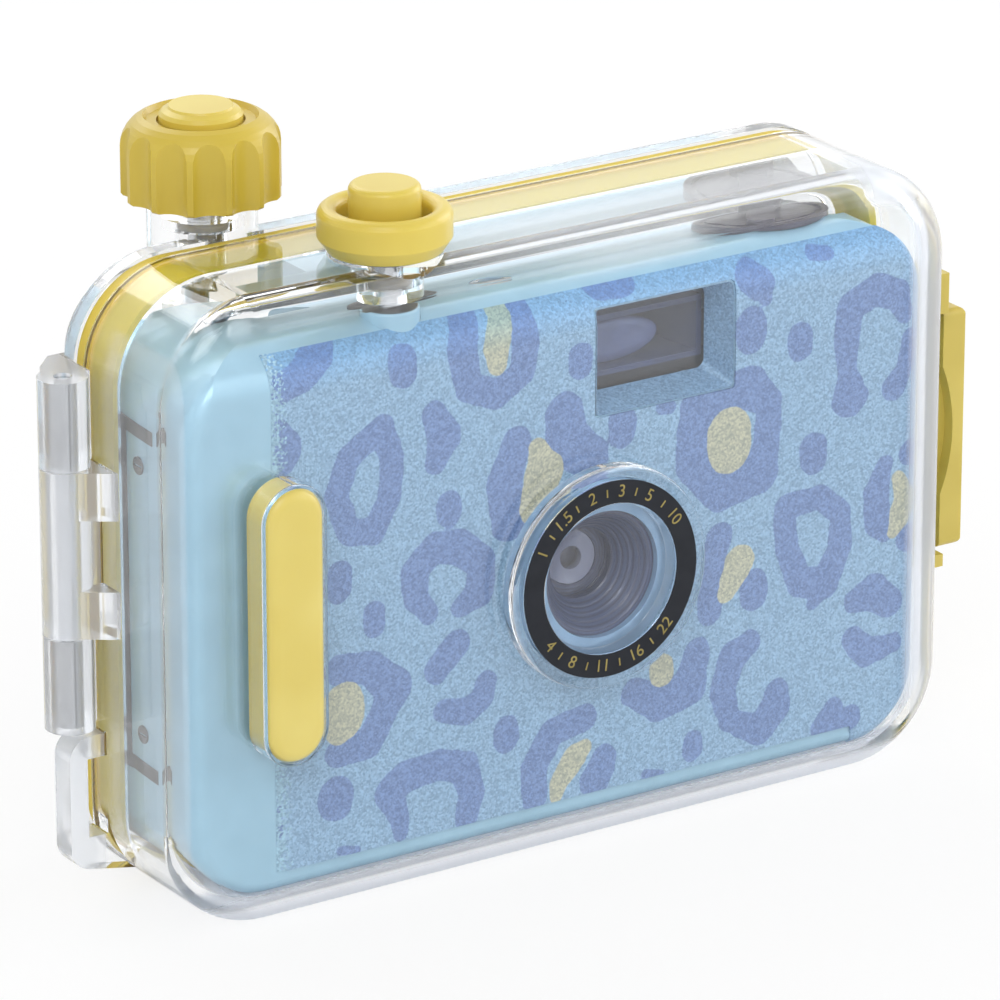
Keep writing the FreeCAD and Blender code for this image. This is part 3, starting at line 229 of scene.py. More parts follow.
def addRoom():
    s = roomSettings
    floor = added(bpy.ops.mesh.primitive_plane_add, size=s["floorSize"])
    floor.name = "studioFloor"
    mat, tree, bsdf = newFinish("paleFloor")
    bsdf.inputs["Base Color"].default_value = (s["floorGrey"], s["floorGrey"], s["floorGrey"], 1)
    bsdf.inputs["Roughness"].default_value = s["floorRough"]
    bsdf.inputs["Specular IOR Level"].default_value = s["floorGloss"]
    glow = addNode(tree, "Emission", {"Color": white, "Strength": 1.0})
    path = tree.nodes.new("ShaderNodeLightPath").outputs
    seen = addMath(tree, "ADD", path["Is Camera Ray"], path["Is Transmission Ray"], clamp=True)
    mix = blendShaders(tree, addMath(tree, "MULTIPLY", seen, s["floorGlow"]), bsdf, glow)
    tree.links.new(mix.outputs[0], tree.nodes["Material Output"].inputs["Surface"])
    floor.data.materials.append(mat)


def addSky():
    s = roomSettings
    world = bpy.data.worlds.new("studioSky")
    bpy.context.scene.world = world
    world.use_nodes = True
    tree = world.node_tree
    tree.nodes.clear()
    path = tree.nodes.new("ShaderNodeLightPath").outputs
    stops = [(place, (grey, grey, grey, 1)) for place, grey in s["skyBands"]]
    bands = addRamp(tree, axesOf(tree, "Generated")["Z"], stops)
    power = addMath(tree, "MULTIPLY", bands, s["skyPeak"])
    shine = addNode(tree, "Background", {"Color": s["skyTint"], "Strength": power})
    soft = addNode(tree, "Background", {"Color": white, "Strength": s["skyStrength"]})
    backdrop = addNode(tree, "Background", {"Color": white, "Strength": 1.0})
    bent = addMath(tree, "ADD", path["Is Glossy Ray"], path["Is Transmission Ray"], clamp=True)
    light = blendShaders(tree, bent, soft, shine)
    seen = blendShaders(tree, path["Is Camera Ray"], light, backdrop)
    addNode(tree, "OutputWorld", {"Surface": seen.outputs[0]})


def addLamps():
    for name, lamp in lampSettings.items():
        data = bpy.data.lights.new(name + "Lamp", "AREA")
        data.energy = lamp["watts"]
        data.size = lamp["size"]
        thing = bpy.data.objects.new(name + "Lamp", data)
        bpy.context.collection.objects.link(thing)
        place = Vector(lamp["place"])
        thing.location = place
        thing.rotation_euler = (Vector(lamp["aim"]) - place).to_track_quat("-Z", "Y").to_euler()


addRoom()
addSky()
addLamps()
print("camera, room and lamps ready")


# A colour as read off the screen, 0 to 255, in the renderer's own scale
def colour(*tones):
    return tuple(((c / 255 + 0.055) / 1.055) ** 2.4 if c > 10 else c / 255 / 12.92 for c in tones) + (1,)


surfaceSettings = {
    "coatRough": 0.08,
    "softRadius": (1.0, 0.8, 0.3),
    "softScale": 0.002,
    "grainDetail": 3.0,
    "grainStrength": 0.5,
    "patchDetail": 2.0,
    "patchFrom": 0.35,      # a patch turns from dark to light over this part of the noise
    "patchTo": 0.65,
}


def setLook(bsdf, base, rough, metal=0.0, coat=0.0, soft=0.0):
    bsdf.inputs["Base Color"].default_value = base
    bsdf.inputs["Roughness"].default_value = rough
    bsdf.inputs["Metallic"].default_value = metal
    bsdf.inputs["Coat Weight"].default_value = coat
    bsdf.inputs["Coat Roughness"].default_value = surfaceSettings["coatRough"]
    if soft:
        bsdf.inputs["Subsurface Weight"].default_value = soft
        bsdf.inputs["Subsurface Radius"].default_value = surfaceSettings["softRadius"]
        bsdf.inputs["Subsurface Scale"].default_value = surfaceSettings["softScale"]


# Fine moulding texture: grains of this size in mm, standing this many mm deep
def addGrain(tree, bsdf, size, depth):
    s = surfaceSettings
    addBump(tree, bsdf, addNoise(tree, size, s["grainDetail"]), s["grainStrength"], depth)


# Slow change of tone over the surface between two close colours
def varyColour(tree, bsdf, light, dark, size):
    s = surfaceSettings
    stops = ((s["patchFrom"], dark), (s["patchTo"], light))
    tree.links.new(addRamp(tree, addNoise(tree, size, s["patchDetail"]), stops), bsdf.inputs["Base Color"])


clearSettings = {
    "case": (0.992, 0.996, 0.998, 1),
    "caseBend": 1.49,
    "lens": (0.92, 0.94, 1.0, 1),
    "lensBend": 1.28,
    "window": (0.74, 0.83, 1.0, 1),
    "shadow": (0.95, 0.96, 0.97, 1),  # how lamps shine through it
}


# Clear moulded plastic: it bends what is seen through it, and lamps shine through
def makeClear(name, tint, bend=clearSettings["caseBend"]):
    mat, tree, bsdf = newFinish(name)
    bsdf.inputs["Base Color"].default_value = tint
    bsdf.inputs["Roughness"].default_value = 0.0
    bsdf.inputs["IOR"].default_value = bend
    bsdf.inputs["Transmission Weight"].default_value = 1.0
    clear = addNode(tree, "BsdfTransparent", {"Color": clearSettings["shadow"]})
    path = tree.nodes.new("ShaderNodeLightPath").outputs
    mix = blendShaders(tree, path["Is Shadow Ray"], bsdf, clear)
    tree.links.new(mix.outputs[0], tree.nodes["Material Output"].inputs["Surface"])
    return mat


# Tones from 0 to 255: the base, its light patches and its dark ones. Patches and grain are in mm
plainFinishes = {
    "yellow": {"name": "yellowPlastic", "tones": ((224, 202, 92), (226, 205, 96), (220, 196, 84)),
        "patch": 14, "rough": 0.30, "soft": 0.10, "grain": (0.35, 0.012)},
    # painted light: a paler copy of the yellow plastic, for the light on the grip's front face
    "gripLitYellow": {"name": "gripLitYellow", "tones": ((226, 207, 114), (228, 210, 118), (222, 202, 106)),
        "patch": 14, "rough": 0.30, "soft": 0.10, "grain": (0.35, 0.012)},
    # painted shade: a darker copy of the yellow plastic, for the shade on the knob's side and in its grooves
    "knobShadedYellow": {"name": "knobShadedYellow", "tones": ((208, 183, 68), (211, 186, 72), (202, 176, 60)),
        "patch": 14, "rough": 0.32, "soft": 0.08, "grain": (0.35, 0.012)},
    "latchYellow": {"name": "latchYellow", "tones": ((204, 184, 88), (208, 188, 92), (198, 177, 80)),
        "patch": 14, "rough": 0.32, "soft": 0.08, "grain": (0.35, 0.012)},
    "aqua": {"name": "pearlAqua", "tones": ((156, 197, 218), (158, 199, 220), (152, 193, 214)),
        "patch": 6, "rough": 0.30, "metal": 0.25, "coat": 0.4, "grain": (0.12, 0.004)},
    "deepAqua": {"name": "deepAqua", "tones": ((134, 172, 208), (140, 178, 214), (126, 164, 200)),
        "patch": 4, "rough": 0.28, "metal": 0.3, "coat": 0.4, "grain": (0.12, 0.004)},
    "black": {"name": "blackPlastic", "tones": ((44, 45, 50), (52, 53, 58), (38, 39, 44)),
        "patch": 5, "rough": 0.45, "grain": (0.3, 0.02)},
    "sealGrey": {"name": "paleRubber", "tones": ((168, 164, 156), (176, 172, 164), (156, 152, 144)),
        "patch": 3, "rough": 0.5, "soft": 0.2, "grain": (0.2, 0.01)},
    "grey": {"name": "greyPlastic", "tones": ((80, 77, 90), (86, 83, 96), (72, 69, 82)),
        "patch": 5, "rough": 0.35, "grain": (0.25, 0.01)},
    "tunnelGrey": {"name": "tunnelGrey", "tones": ((70, 78, 108), (76, 84, 114), (62, 70, 100)),
        "patch": 5, "rough": 0.35, "grain": (0.25, 0.01)},
    "nylon": {"name": "whiteNylon", "tones": ((236, 234, 224), (238, 236, 228), (228, 225, 212)),
        "patch": 4, "rough": 0.4, "soft": 0.2, "grain": (0.3, 0.008)},
    "steel": {"name": "brightSteel", "tones": ((206, 208, 210), (212, 214, 216), (190, 192, 196)),
        "patch": 2, "rough": 0.24, "metal": 1.0, "grain": (0.15, 0.003)},
    "tin": {"name": "cartridgeTin", "tones": ((120, 126, 136), (128, 134, 144), (108, 114, 124)),
        "patch": 8, "rough": 0.35, "metal": 0.5, "grain": (0.3, 0.004)},
    "film": {"name": "brownFilm", "tones": ((104, 78, 62), (110, 84, 68), (94, 70, 56)),
        "patch": 6, "rough": 0.18, "coat": 0.5, "grain": (0.4, 0.003)},
    "darkPrint": {"name": "ringBlack", "tones": ((30, 33, 40), (32, 35, 42), (26, 29, 36)),
        "patch": 3, "rough": 0.45, "specular": 0.25, "grain": (0.2, 0.004)},
    "gold": {"name": "goldPrint", "tones": ((158, 142, 78), (166, 150, 86), (142, 127, 66)),
        "patch": 1.5, "rough": 0.4, "metal": 0.2, "grain": (0.15, 0.004)},
    "finderGlass": {"name": "finderGlass", "tones": ((116, 120, 152), (122, 126, 158), (108, 112, 142)),
        "patch": 4, "rough": 0.25, "coat": 0.5},
}


def makePlain(key):
    s = plainFinishes[key]
    base, light, dark = (colour(*tone) for tone in s["tones"])
    mat, tree, bsdf = newFinish(s["name"])
    setLook(bsdf, base, s["rough"], s.get("metal", 0.0), s.get("coat", 0.0), s.get("soft", 0.0))
    if "specular" in s:
        bsdf.inputs["Specular IOR Level"].default_value = s["specular"]
    varyColour(tree, bsdf, light, dark, s["patch"])
    if "grain" in s:
        addGrain(tree, bsdf, *s["grain"])
    return mat


sealSettings = {
    "strip": (224, 197, 72),    # the band between the shells
    "skirt": (200, 182, 40),    # the lip that the front shell covers
    "skirtFrom": -2.6,
    "skirtTo": -3.4,
    "skirtClear": 0.03,
    "rough": 0.42,
    "soft": 0.2,
    "grain": (0.5, 0.01),
}


def makeSealYellow():
    s = sealSettings
    mat, tree, bsdf = newFinish("yellowSilicone")
    setLook(bsdf, colour(*s["strip"]), s["rough"], soft=s["soft"])
    depth = addRise(tree, axesOf(tree)["Y"], s["skirtFrom"], s["skirtTo"])
    tone = addMix(tree, depth, colour(*s["strip"]), colour(*s["skirt"]))
    tree.links.new(tone, bsdf.inputs["Base Color"])
    tree.links.new(addMath(tree, "MULTIPLY", depth, s["skirtClear"]), bsdf.inputs["Transmission Weight"])
    addGrain(tree, bsdf, *s["grain"])
    return mat


buttonSettings = {
    "side": (156, 197, 218),
    "top": (58, 56, 54),
    "topFrom": 79.9,        # the button's dark top, partly its own dark plastic and partly painted shade under the shutter ring, starts at this height
    "topTo": 80.0,
    "rough": 0.32,
    "coat": 0.3,
    "grain": (0.2, 0.006),
}


def makeButtonCap():
    s = buttonSettings
    mat, tree, bsdf = newFinish("buttonCap")
    setLook(bsdf, colour(*s["side"]), s["rough"], coat=s["coat"])
    # painted shade, in part: the button's top is darkened under the shutter ring
    height = addRise(tree, axesOf(tree)["Z"], s["topFrom"], s["topTo"])
    tree.links.new(addMix(tree, height, colour(*s["side"]), colour(*s["top"])), bsdf.inputs["Base Color"])
    addGrain(tree, bsdf, *s["grain"])
    return mat


# painted highlights and reflections: milky white patches on the clear case where its thick edges, hinge,
# flange and top catch light
paintedSheenSettings = {
    "colour": (234, 239, 249),
    "rough": 0.45,
    "blurFrom": 0.3,        # the places of painted sheen below this share stay sharp
    "places": {  # how much painted sheen, and the steps along each axis that it builds up over
        "low": (0.78, (("Z", 4.4, 2.2), ("Y", -4.0, -9.0))),
        "right": (0.48, (("X", 55.2, 57.0), ("Y", -18.0, -22.0))),
        "corner": (0.46, (("X", 45.0, 51.0), ("Z", 80.4, 83.6), ("Y", -12.0, -16.0))),
        "brow": (0.16, (("X", -10.0, 10.0), ("X", 25.0, 17.0), ("Z", 80.0, 82.0), ("Y", -20.0, -24.0))),
        "left": (0.16, (("X", -59.6, -60.2), ("Y", -6.0, -9.0))),
        "top": (0.26, (("Z", 84.2, 85.4), ("Y", -13.0, -17.0), ("X", -30.0, 0.0))),
        "hinge": (0.32, (("X", -62.1, -62.5),)),
        "flange": (0.14, (("Y", -0.05, 0.05), ("Y", 3.6, 3.3))),
    },
}


def makeClearCase():
    mat = makeClear("clearCase", clearSettings["case"])
    tree = mat.node_tree
    bsdf = tree.nodes["Principled BSDF"]
    axes = axesOf(tree)
    # painted sheen: where it builds up, the clear plastic turns milky white
    paintedSheen = 0.0
    for share, steps in paintedSheenSettings["places"].values():
        part = share
        for axis, start, end in steps:
            part = addMath(tree, "MULTIPLY", addRise(tree, axes[axis], start, end, "SMOOTHSTEP"), part)
        paintedSheen = addMath(tree, "MAXIMUM", paintedSheen, part)
    tree.links.new(addMath(tree, "SUBTRACT", 1.0, paintedSheen), bsdf.inputs["Transmission Weight"])
    thick = addMath(tree, "GREATER_THAN", paintedSheen, paintedSheenSettings["blurFrom"])
    blur = addMath(tree, "MULTIPLY", thick, paintedSheenSettings["rough"])
    tree.links.new(addMath(tree, "MULTIPLY", blur, paintedSheen), bsdf.inputs["Roughness"])
    tone = addMix(tree, paintedSheen, clearSettings["case"], colour(*paintedSheenSettings["colour"]))
    tree.links.new(tone, bsdf.inputs["Base Color"])
    return mat


barrelSettings = {
    "light": (66, 79, 112),
    "dark": (48, 59, 90),
    "darkTo": 0.1,
    "lightFrom": 0.6,
    "rough": 0.38,
    "coat": 0.2,
    "ridge": 0.46,          # spacing of the fine rings on the barrel
    "ringUnit": 0.314,      # spacing of the wave texture's rings at a scale of 1
    "bump": (0.45, 0.03),   # strength, and depth in mm
}


# Satin purple-grey plastic with fine rings turned round the lens
def makeBarrel():
    s = barrelSettings
    mat, tree, bsdf = newFinish("barrelGrey")
    setLook(bsdf, colour(*s["light"]), s["rough"], coat=s["coat"])
    x, z = lensCentre
    place = addNode(tree, "Mapping", {"Location": (-x * mm, 0, -z * mm), "Vector": coordsOf(tree, "Object")})
    inputs = {"Scale": s["ringUnit"] / (s["ridge"] * mm), "Distortion": 0.0, "Vector": place.outputs[0]}
    rings = addNode(tree, "TexWave", inputs, wave_type="RINGS", rings_direction="Y").outputs["Fac"]
    stops = ((s["darkTo"], colour(*s["dark"])), (s["lightFrom"], colour(*s["light"])))
    tree.links.new(addRamp(tree, rings, stops), bsdf.inputs["Base Color"])
    addBump(tree, bsdf, rings, *s["bump"])
    return mat


finishes = {key: makePlain(key) for key in plainFinishes}
finishes.update({
    "clear": makeClearCase(),
    "barrel": makeBarrel(),
    "lensClear": makeClear("clearOptic", clearSettings["lens"], clearSettings["lensBend"]),
    "windowClear": makeClear("clearWindow", clearSettings["window"]),
    "sealYellow": makeSealYellow(),
    "buttonCap": makeButtonCap(),
})
finishOfSlot = {
    "clear_case": "clear", "optic": "lensClear", "yellow": "yellow", "seal_yellow": "sealYellow",
    "aqua": "aqua", "print_skin": "aqua", "aqua_deep": "deepAqua", "black_plastic": "black",
    "seal_black": "sealGrey", "grey_plastic": "grey", "white_nylon": "nylon", "steel": "steel",
    "cartridge_tin": "tin", "film_base": "film", "dark_print": "darkPrint",
}
ownFinish = {  # nodes that differ from their slot
    "lens_barrel": "barrel", "camera_button": "buttonCap", "finder_tunnel": "tunnelGrey",
    "finder_window": "windowClear", "grip_pad": "gripLitYellow", "wind_knob": "knobShadedYellow",
    "latch_lever": "latchYellow", "latch_link": "latchYellow",
}


def dressNodes():
    for part in frame["record"]["subparts"]:
        thing = nodes[part["node"]]
        finish = ownFinish.get(part["node"], finishOfSlot[part["material_slot"]])
        thing.data.materials.clear()
        thing.data.materials.append(finishes[finish])


dressNodes()
print("frame nodes dressed:", len(nodes))


skinSettings = {
    "left": -46.0,          # the skin starts here and runs to the right edge
    "bottom": 6.5,
    "halfWidth": 58.55,     # outline of the cover with the skin on it
    "low": 2.85,
    "high": 79.15,
    "corner": 11.35,
    "sideRound": 2.35,      # the cover's edge is tight at the sides and wide along the top
    "topRound": 6.35,
    "front": -22.35,
    "sideInset": 0.16,      # how far short of the outline the skin ends
    "topInset": 1.12,
    "cell": 0.5,
    "thick": 0.33,
    "feather": 1.5,         # the skin thins out over this width at its left edge
    "turned": 0.86,         # how much narrower spots look on the turned face
    "finder": (15.6, 67.87, 11.4, 7.65, 0.5),  # centre, half sizes and corner of the opening
    "port": (*lensCentre, 13.35),
    "pulls": 3,             # how often a point near the outline is drawn on to it
    "probe": 0.01,          # step used to find which way the outline lies
    "leastSlope": 0.2,
    "thinned": 0.9,         # share of the thickness lost at the left edge
    "sharp": 40,            # degrees
}
# Spots as read from the photograph: each is a chain of (pixel x, pixel y, pixel radius)
spots = [
    [(275, 390, 13), (300, 375, 13), (320, 355, 13), (330, 340, 11)],
    [(399, 360, 15), (399, 371, 14)],
    [(468, 318, 13), (458, 350, 15), (465, 385, 14), (492, 393, 13), (518, 370, 13), (522, 340, 14),
     (520, 305, 12)],
    [(576, 355, 13), (576, 364, 12)],
    [(378, 425, 12), (345, 455, 12), (332, 495, 12), (345, 530, 12), (370, 530, 12), (385, 495, 12),
     (388, 455, 12), (378, 425, 12)],
    [(262, 430, 18), (275, 450, 22), (270, 478, 10)],
    [(430, 412, 12), (440, 435, 17), (432, 460, 11)],
    [(445, 503, 13), (445, 511, 13)],
    [(513, 440, 15), (500, 480, 18), (505, 520, 18)],
    [(560, 412, 20), (563, 440, 22), (585, 455, 20)],
    [(600, 288, 11), (628, 284, 11)],
    [(748, 276, 15), (757, 282, 15), (762, 297, 7)],
    [(747, 322, 16), (747, 334, 16)],
    [(796, 334, 13), (796, 345, 13)],
    [(900, 312, 9), (893, 292, 14), (872, 287, 15), (846, 305, 15), (842, 340, 14), (843, 370, 10),
     (845, 394, 20)],
    [(906, 337, 10), (900, 365, 9), (889, 385, 13)],
    [(812, 253, 6), (828, 253, 6)],
    [(695, 405, 20), (745, 385, 20), (765, 400, 14), (762, 440, 14), (755, 470, 20), (715, 490, 18),
     (690, 460, 20), (688, 425, 16), (695, 405, 18)],
    [(809, 446, 15), (809, 456, 15)],
    [(780, 505, 12), (815, 495, 12), (836, 510, 11), (835, 545, 13), (820, 580, 16), (795, 580, 14),
     (782, 545, 12), (780, 505, 12)],
    [(815, 590, 10), (807, 602, 6)],
    [(880, 462, 9), (872, 490, 14), (872, 520, 14), (880, 532, 8)],
    [(905, 450, 12), (911, 452, 10)],
    [(903, 535, 13), (910, 540, 11)],
    [(618, 420, 15), (618, 431, 14)],
    [(658, 405, 7), (666, 405, 6)],
    [(715, 535, 14), (708, 560, 13), (705, 610, 13)],
    [(749, 582, 15), (749, 592, 15)],
    [(692, 650, 14), (685, 685, 18), (655, 700, 18), (630, 690, 14)],
    [(745, 640, 12), (728, 655, 16), (718, 690, 14), (725, 718, 11), (755, 728, 14), (770, 705, 17),
     (772, 690, 13)],
    [(688, 739, 11), (688, 747, 11)],
    [(641, 772, 5), (655, 772, 5)],
    [(850, 598, 12), (868, 590, 18), (885, 600, 14)],
    [(848, 637, 12), (862, 650, 14), (888, 640, 10)],
    [(828, 708, 12), (815, 725, 10), (845, 715, 12)],
    [(425, 612, 9), (412, 595, 13), (410, 570, 14), (430, 545, 14), (455, 545, 16), (478, 560, 14),
     (475, 590, 15), (455, 605, 9)],
    [(335, 573, 13), (335, 587, 13)],
    [(370, 611, 11), (370, 623, 11)],
    [(452, 642, 14), (432, 668, 13)],
    [(440, 708, 11), (462, 710, 12), (478, 695, 12), (482, 680, 11)],
    [(335, 668, 14), (365, 665, 15), (390, 685, 18), (380, 710, 14), (365, 740, 15), (335, 750, 14)],
    [(332, 793, 18), (332, 799, 18)],
    [(397, 830, 8), (395, 815, 10), (385, 790, 15), (400, 775, 15), (435, 762, 14), (460, 765, 15),
     (468, 790, 13), (462, 815, 12)],
    [(502, 727, 13), (502, 737, 13)],
    [(580, 715, 13), (548, 730, 14), (530, 765, 14), (530, 795, 13)],
    [(600, 755, 13), (597, 765, 15), (590, 778, 16)],
    [(274, 808, 5), (274, 832, 5)],
    [(337, 848, 4), (353, 848, 4)],
]
khakiSpots = [
    [(499, 298, 9), (502, 318, 11), (492, 345, 13), (494, 362, 10)],
    [(533, 445, 9), (540, 470, 20), (530, 505, 15)],
    [(725, 430, 23), (725, 446, 23)],
    [(893, 475, 7), (900, 495, 12), (895, 515, 12), (888, 530, 6)],
    [(735, 560, 16), (722, 590, 10)],
    [(657, 665, 13), (657, 671, 13)],
    [(340, 702, 20), (340, 716, 20), (335, 728, 14)],
    [(580, 745, 8), (570, 755, 13), (555, 780, 10), (552, 795, 6)],
]


# How far the point lies inside a rounded rectangle, in mm; negative outside
def roundedInset(x, z, midX, midZ, halfX, halfZ, corner):
    dx = abs(x - midX) - (halfX - corner)
    dz = abs(z - midZ) - (halfZ - corner)
    outside = math.hypot(max(dx, 0), max(dz, 0))
    return corner - (outside + min(max(dx, dz), 0))


def outlineInset(x, z):
    s = skinSettings
    mid = (s["low"] + s["high"]) / 2
    half = (s["high"] - s["low"]) / 2
    return roundedInset(x, z, 0, mid, s["halfWidth"], half, s["corner"])


# Distance from the nearest edge of the skin: positive on the skin
def skinRoom(x, z):
    s = skinSettings
    midX, midZ, halfX, halfZ, corner = s["finder"]
    portX, portZ, portRadius = s["port"]
    return min(
        outlineInset(x, z) - s["sideInset"],
        s["high"] - z - s["topInset"],
        x - s["left"],
        z - s["bottom"] if x < s["halfWidth"] - s["corner"] else math.inf,
        -roundedInset(x, z, midX, midZ, halfX, halfZ, corner),
        math.hypot(x - portX, z - portZ) - portRadius,
    )


# How far a rounded edge has turned back, this far in from its end
def roundedFall(inset, radius):
    across = radius - min(max(inset, 0), radius)
    return radius - math.sqrt(radius ** 2 - across ** 2)


def skinDepth(x, z):
    s = skinSettings
    sideFall = roundedFall(outlineInset(x, z), s["sideRound"])
    return s["front"] + max(sideFall, roundedFall(s["high"] - z, s["topRound"]))


# How deep the point lies in the chain of discs, in mm
def chainDepth(chain, x, z):
    best = -math.inf
    for (ax, az, ar), (bx, bz, br) in zip(chain, chain[1:]):
        lx, lz = bx - ax, bz - az
        length = lx * lx + lz * lz
        t = 0 if length == 0 else min(max(((x - ax) * lx + (z - az) * lz) / length, 0), 1)
        depth = ar + (br - ar) * t - math.hypot(x - ax - lx * t, z - az - lz * t)
        best = max(best, depth)
    return best


# Photo pixels to millimetres on the flat of the skin
def placeChains(chains):
    scale = focalPixels() / cameraSettings["distance"] * skinSettings["turned"]
    placed = []
    for chain in chains:
        points = [(seenOn(px, py, skinSettings["front"]), radius) for px, py, radius in chain]
        placed.append([(p.x, p.z, radius / scale) for p, radius in points])
    return placed


# Draws a point near the outline on to it
def pullToEdge(v):
    s = skinSettings
    for _ in range(s["pulls"]):
        here = skinRoom(v.co.x, v.co.z)
        slopeX = (skinRoom(v.co.x + s["probe"], v.co.z) - here) / s["probe"]
        slopeZ = (skinRoom(v.co.x, v.co.z + s["probe"]) - here) / s["probe"]
        steep = max(slopeX ** 2 + slopeZ ** 2, s["leastSlope"])
        v.co.x -= here * slopeX / steep
        v.co.z -= here * slopeZ / steep


def addSkin():
    s = skinSettings
    wide = s["halfWidth"] - s["left"]
    tall = s["high"] - s["low"]
    columns = round(wide / s["cell"])
    rows = round(tall / s["cell"])
    skin = added(bpy.ops.mesh.primitive_grid_add, x_subdivisions=columns, y_subdivisions=rows, size=1)
    skin.name = "printedSkin"
    mesh = bmesh.new()
    mesh.from_mesh(skin.data)
    for v in mesh.verts:
        v.co = (s["left"] + (v.co.x + 0.5) * wide, 0, s["low"] + (v.co.y + 0.5) * tall)
    half = s["cell"] / 2
    room = {v: skinRoom(v.co.x, v.co.z) for v in mesh.verts}
    lost = [f for f in mesh.faces if max(room[v] for v in f.verts) <= half]
    bmesh.ops.delete(mesh, geom=lost, context="FACES")
    for v in mesh.verts:
        if room[v] < half:
            pullToEdge(v)
    for v in mesh.verts:
        thinned = max(1 - (v.co.x - s["left"]) / s["feather"], 0)
        v.co.y = skinDepth(v.co.x, v.co.z) + s["thick"] * s["thinned"] * thinned
    bmesh.ops.recalc_face_normals(mesh, faces=mesh.faces)
    mesh.normal_update()
    if sum(f.normal.y for f in mesh.faces) > 0:
        bmesh.ops.reverse_faces(mesh, faces=mesh.faces)
    for name, chains in (("spot", placeChains(spots)), ("khaki", placeChains(khakiSpots))):
        layer = mesh.verts.layers.float.new(name)
        for v in mesh.verts:
            v[layer] = max(chainDepth(chain, v.co.x, v.co.z) for chain in chains)
    for v in mesh.verts:
        v.co *= mm
    mesh.to_mesh(skin.data)
    mesh.free()
    skin.data.shade_smooth()
    thicken(skin, s["thick"], -1)
    smoothUnder(s["sharp"])
    skin.data.materials.append(makeSkinPrint("spottedSkin", True))
    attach(skin, "case_and_camera")
    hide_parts("print_panel")


printSettings = {
    "base": (141, 176, 205),
    "spot": (112, 139, 186),
    "khaki": (182, 184, 164),
    "fleckSize": 0.28,
    "browFrom": 72.6,        # above here the skin turns on to the top, and painted shade makes it deeper
    "browTo": 76.4,
    "browShadeTone": (0.60, 0.82, 0.97, 1),
    "fadeFrom": -46.1,       # the print thins out into the cover's own colour here
    "fadeTo": -43.6,
    "bare": (150, 188, 208),
    # painted shade on the walls of the viewfinder recess
    "funnelShadeTone": (0.80, 0.84, 0.88, 1),
    "rough": 0.36,
    "metal": 0.15,
    "coat": 0.15,
    "wobble": 0.35,          # how far an edge strays, and over what size
    "wobbleSize": 2.2,
    "wobbleDetail": 2.0,
    "edge": 0.06,            # half the width over which the ink begins
    "sparkle": ((0.0, (0.70, 0.74, 0.80, 1)), (1.0, (1.32, 1.29, 1.24, 1))),
    "bump": (0.25, 0.02),    # strength, and depth in mm
}


def makeSkinPrint(name, spotted):
    s = printSettings
    mat, tree, bsdf = newFinish(name)
    setLook(bsdf, colour(*s["base"]), s["rough"], s["metal"], s["coat"])
    inputs = {"Scale": 1 / (s["fleckSize"] * mm), "Vector": coordsOf(tree, "Object")}
    flecks = addNode(tree, "TexVoronoi", inputs)
    single = addNode(tree, "SeparateColor", {0: flecks.outputs["Color"]}).outputs
    sparkle = addRamp(tree, single["Red"], s["sparkle"])
    if spotted:
        ground = spottedGround(tree, single["Blue"])
    else:
        # painted shade: the walls of the viewfinder recess take the skin colour darkened
        ground = [a * b for a, b in zip(colour(*s["base"]), s["funnelShadeTone"])]
    tree.links.new(addMix(tree, 1.0, ground, sparkle, "MULTIPLY"), bsdf.inputs["Base Color"])
    addBump(tree, bsdf, single["Green"], *s["bump"])
    return mat


# The colour under the sparkle: spots, painted shade on the brow and the worn left edge
def spottedGround(tree, chance):
    s = printSettings
    wobble = addNoise(tree, s["wobbleSize"], s["wobbleDetail"])
    shift = addMath(tree, "MULTIPLY_ADD", wobble, s["wobble"] * 2, -s["wobble"])

    def inked(layer):
        ink = addNode(tree, "Attribute", {}, attribute_name=layer).outputs["Fac"]
        inputs = {"Value": addMath(tree, "ADD", ink, shift), "From Min": -s["edge"], "From Max": s["edge"]}
        return addNode(tree, "MapRange", inputs).outputs["Result"]

    axes = axesOf(tree)
    first = addMix(tree, inked("spot"), colour(*s["base"]), colour(*s["spot"]))
    second = addMix(tree, inked("khaki"), first, colour(*s["khaki"]))
    # painted shade: the skin is darkened where it turns up on to the top
    brow = addRise(tree, axes["Z"], s["browFrom"], s["browTo"])
    deep = addMix(tree, brow, second, s["browShadeTone"], "MULTIPLY")
    fade = addRise(tree, axes["X"], s["fadeFrom"], s["fadeTo"])
    return addMix(tree, addMath(tree, "GREATER_THAN", fade, chance), colour(*s["bare"]), deep)


addSkin()
print("printed skin ready")


ringSettings = {
    "front": -27.3,
    "radius": 12.3,          # middle of the printed band
    "figureSize": 2.45,
    "ink": 0.03,
    "topFigures": (("1", -62), ("1.5", -38), ("2", -14), ("3", 8), ("5", 30), ("10", 56)),
    "lowFigures": (("4", -52), ("8", -30), ("11", -6), ("16", 20), ("22", 46)),
    "tickSize": (0.22, 1.1),
}


def finishPiece(thing, name, body, finish):
    thing.name = name
    thing.data.name = name
    thing.data.materials.clear()
    thing.data.materials.append(finish)
    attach(thing, body)


# Stands flat lettering up on the port's ring, this far round it from the top
def standUp(thing, radius, turn):
    x, z = lensCentre
    port = Matrix.Translation((x * mm, ringSettings["front"] * mm, z * mm))
    around = Matrix.Rotation(math.radians(turn), 4, "Y")
    place = port @ around @ Matrix.Translation((0, 0, radius * mm))
    thing.data.transform(place @ Matrix.Rotation(math.radians(90), 4, "X"))


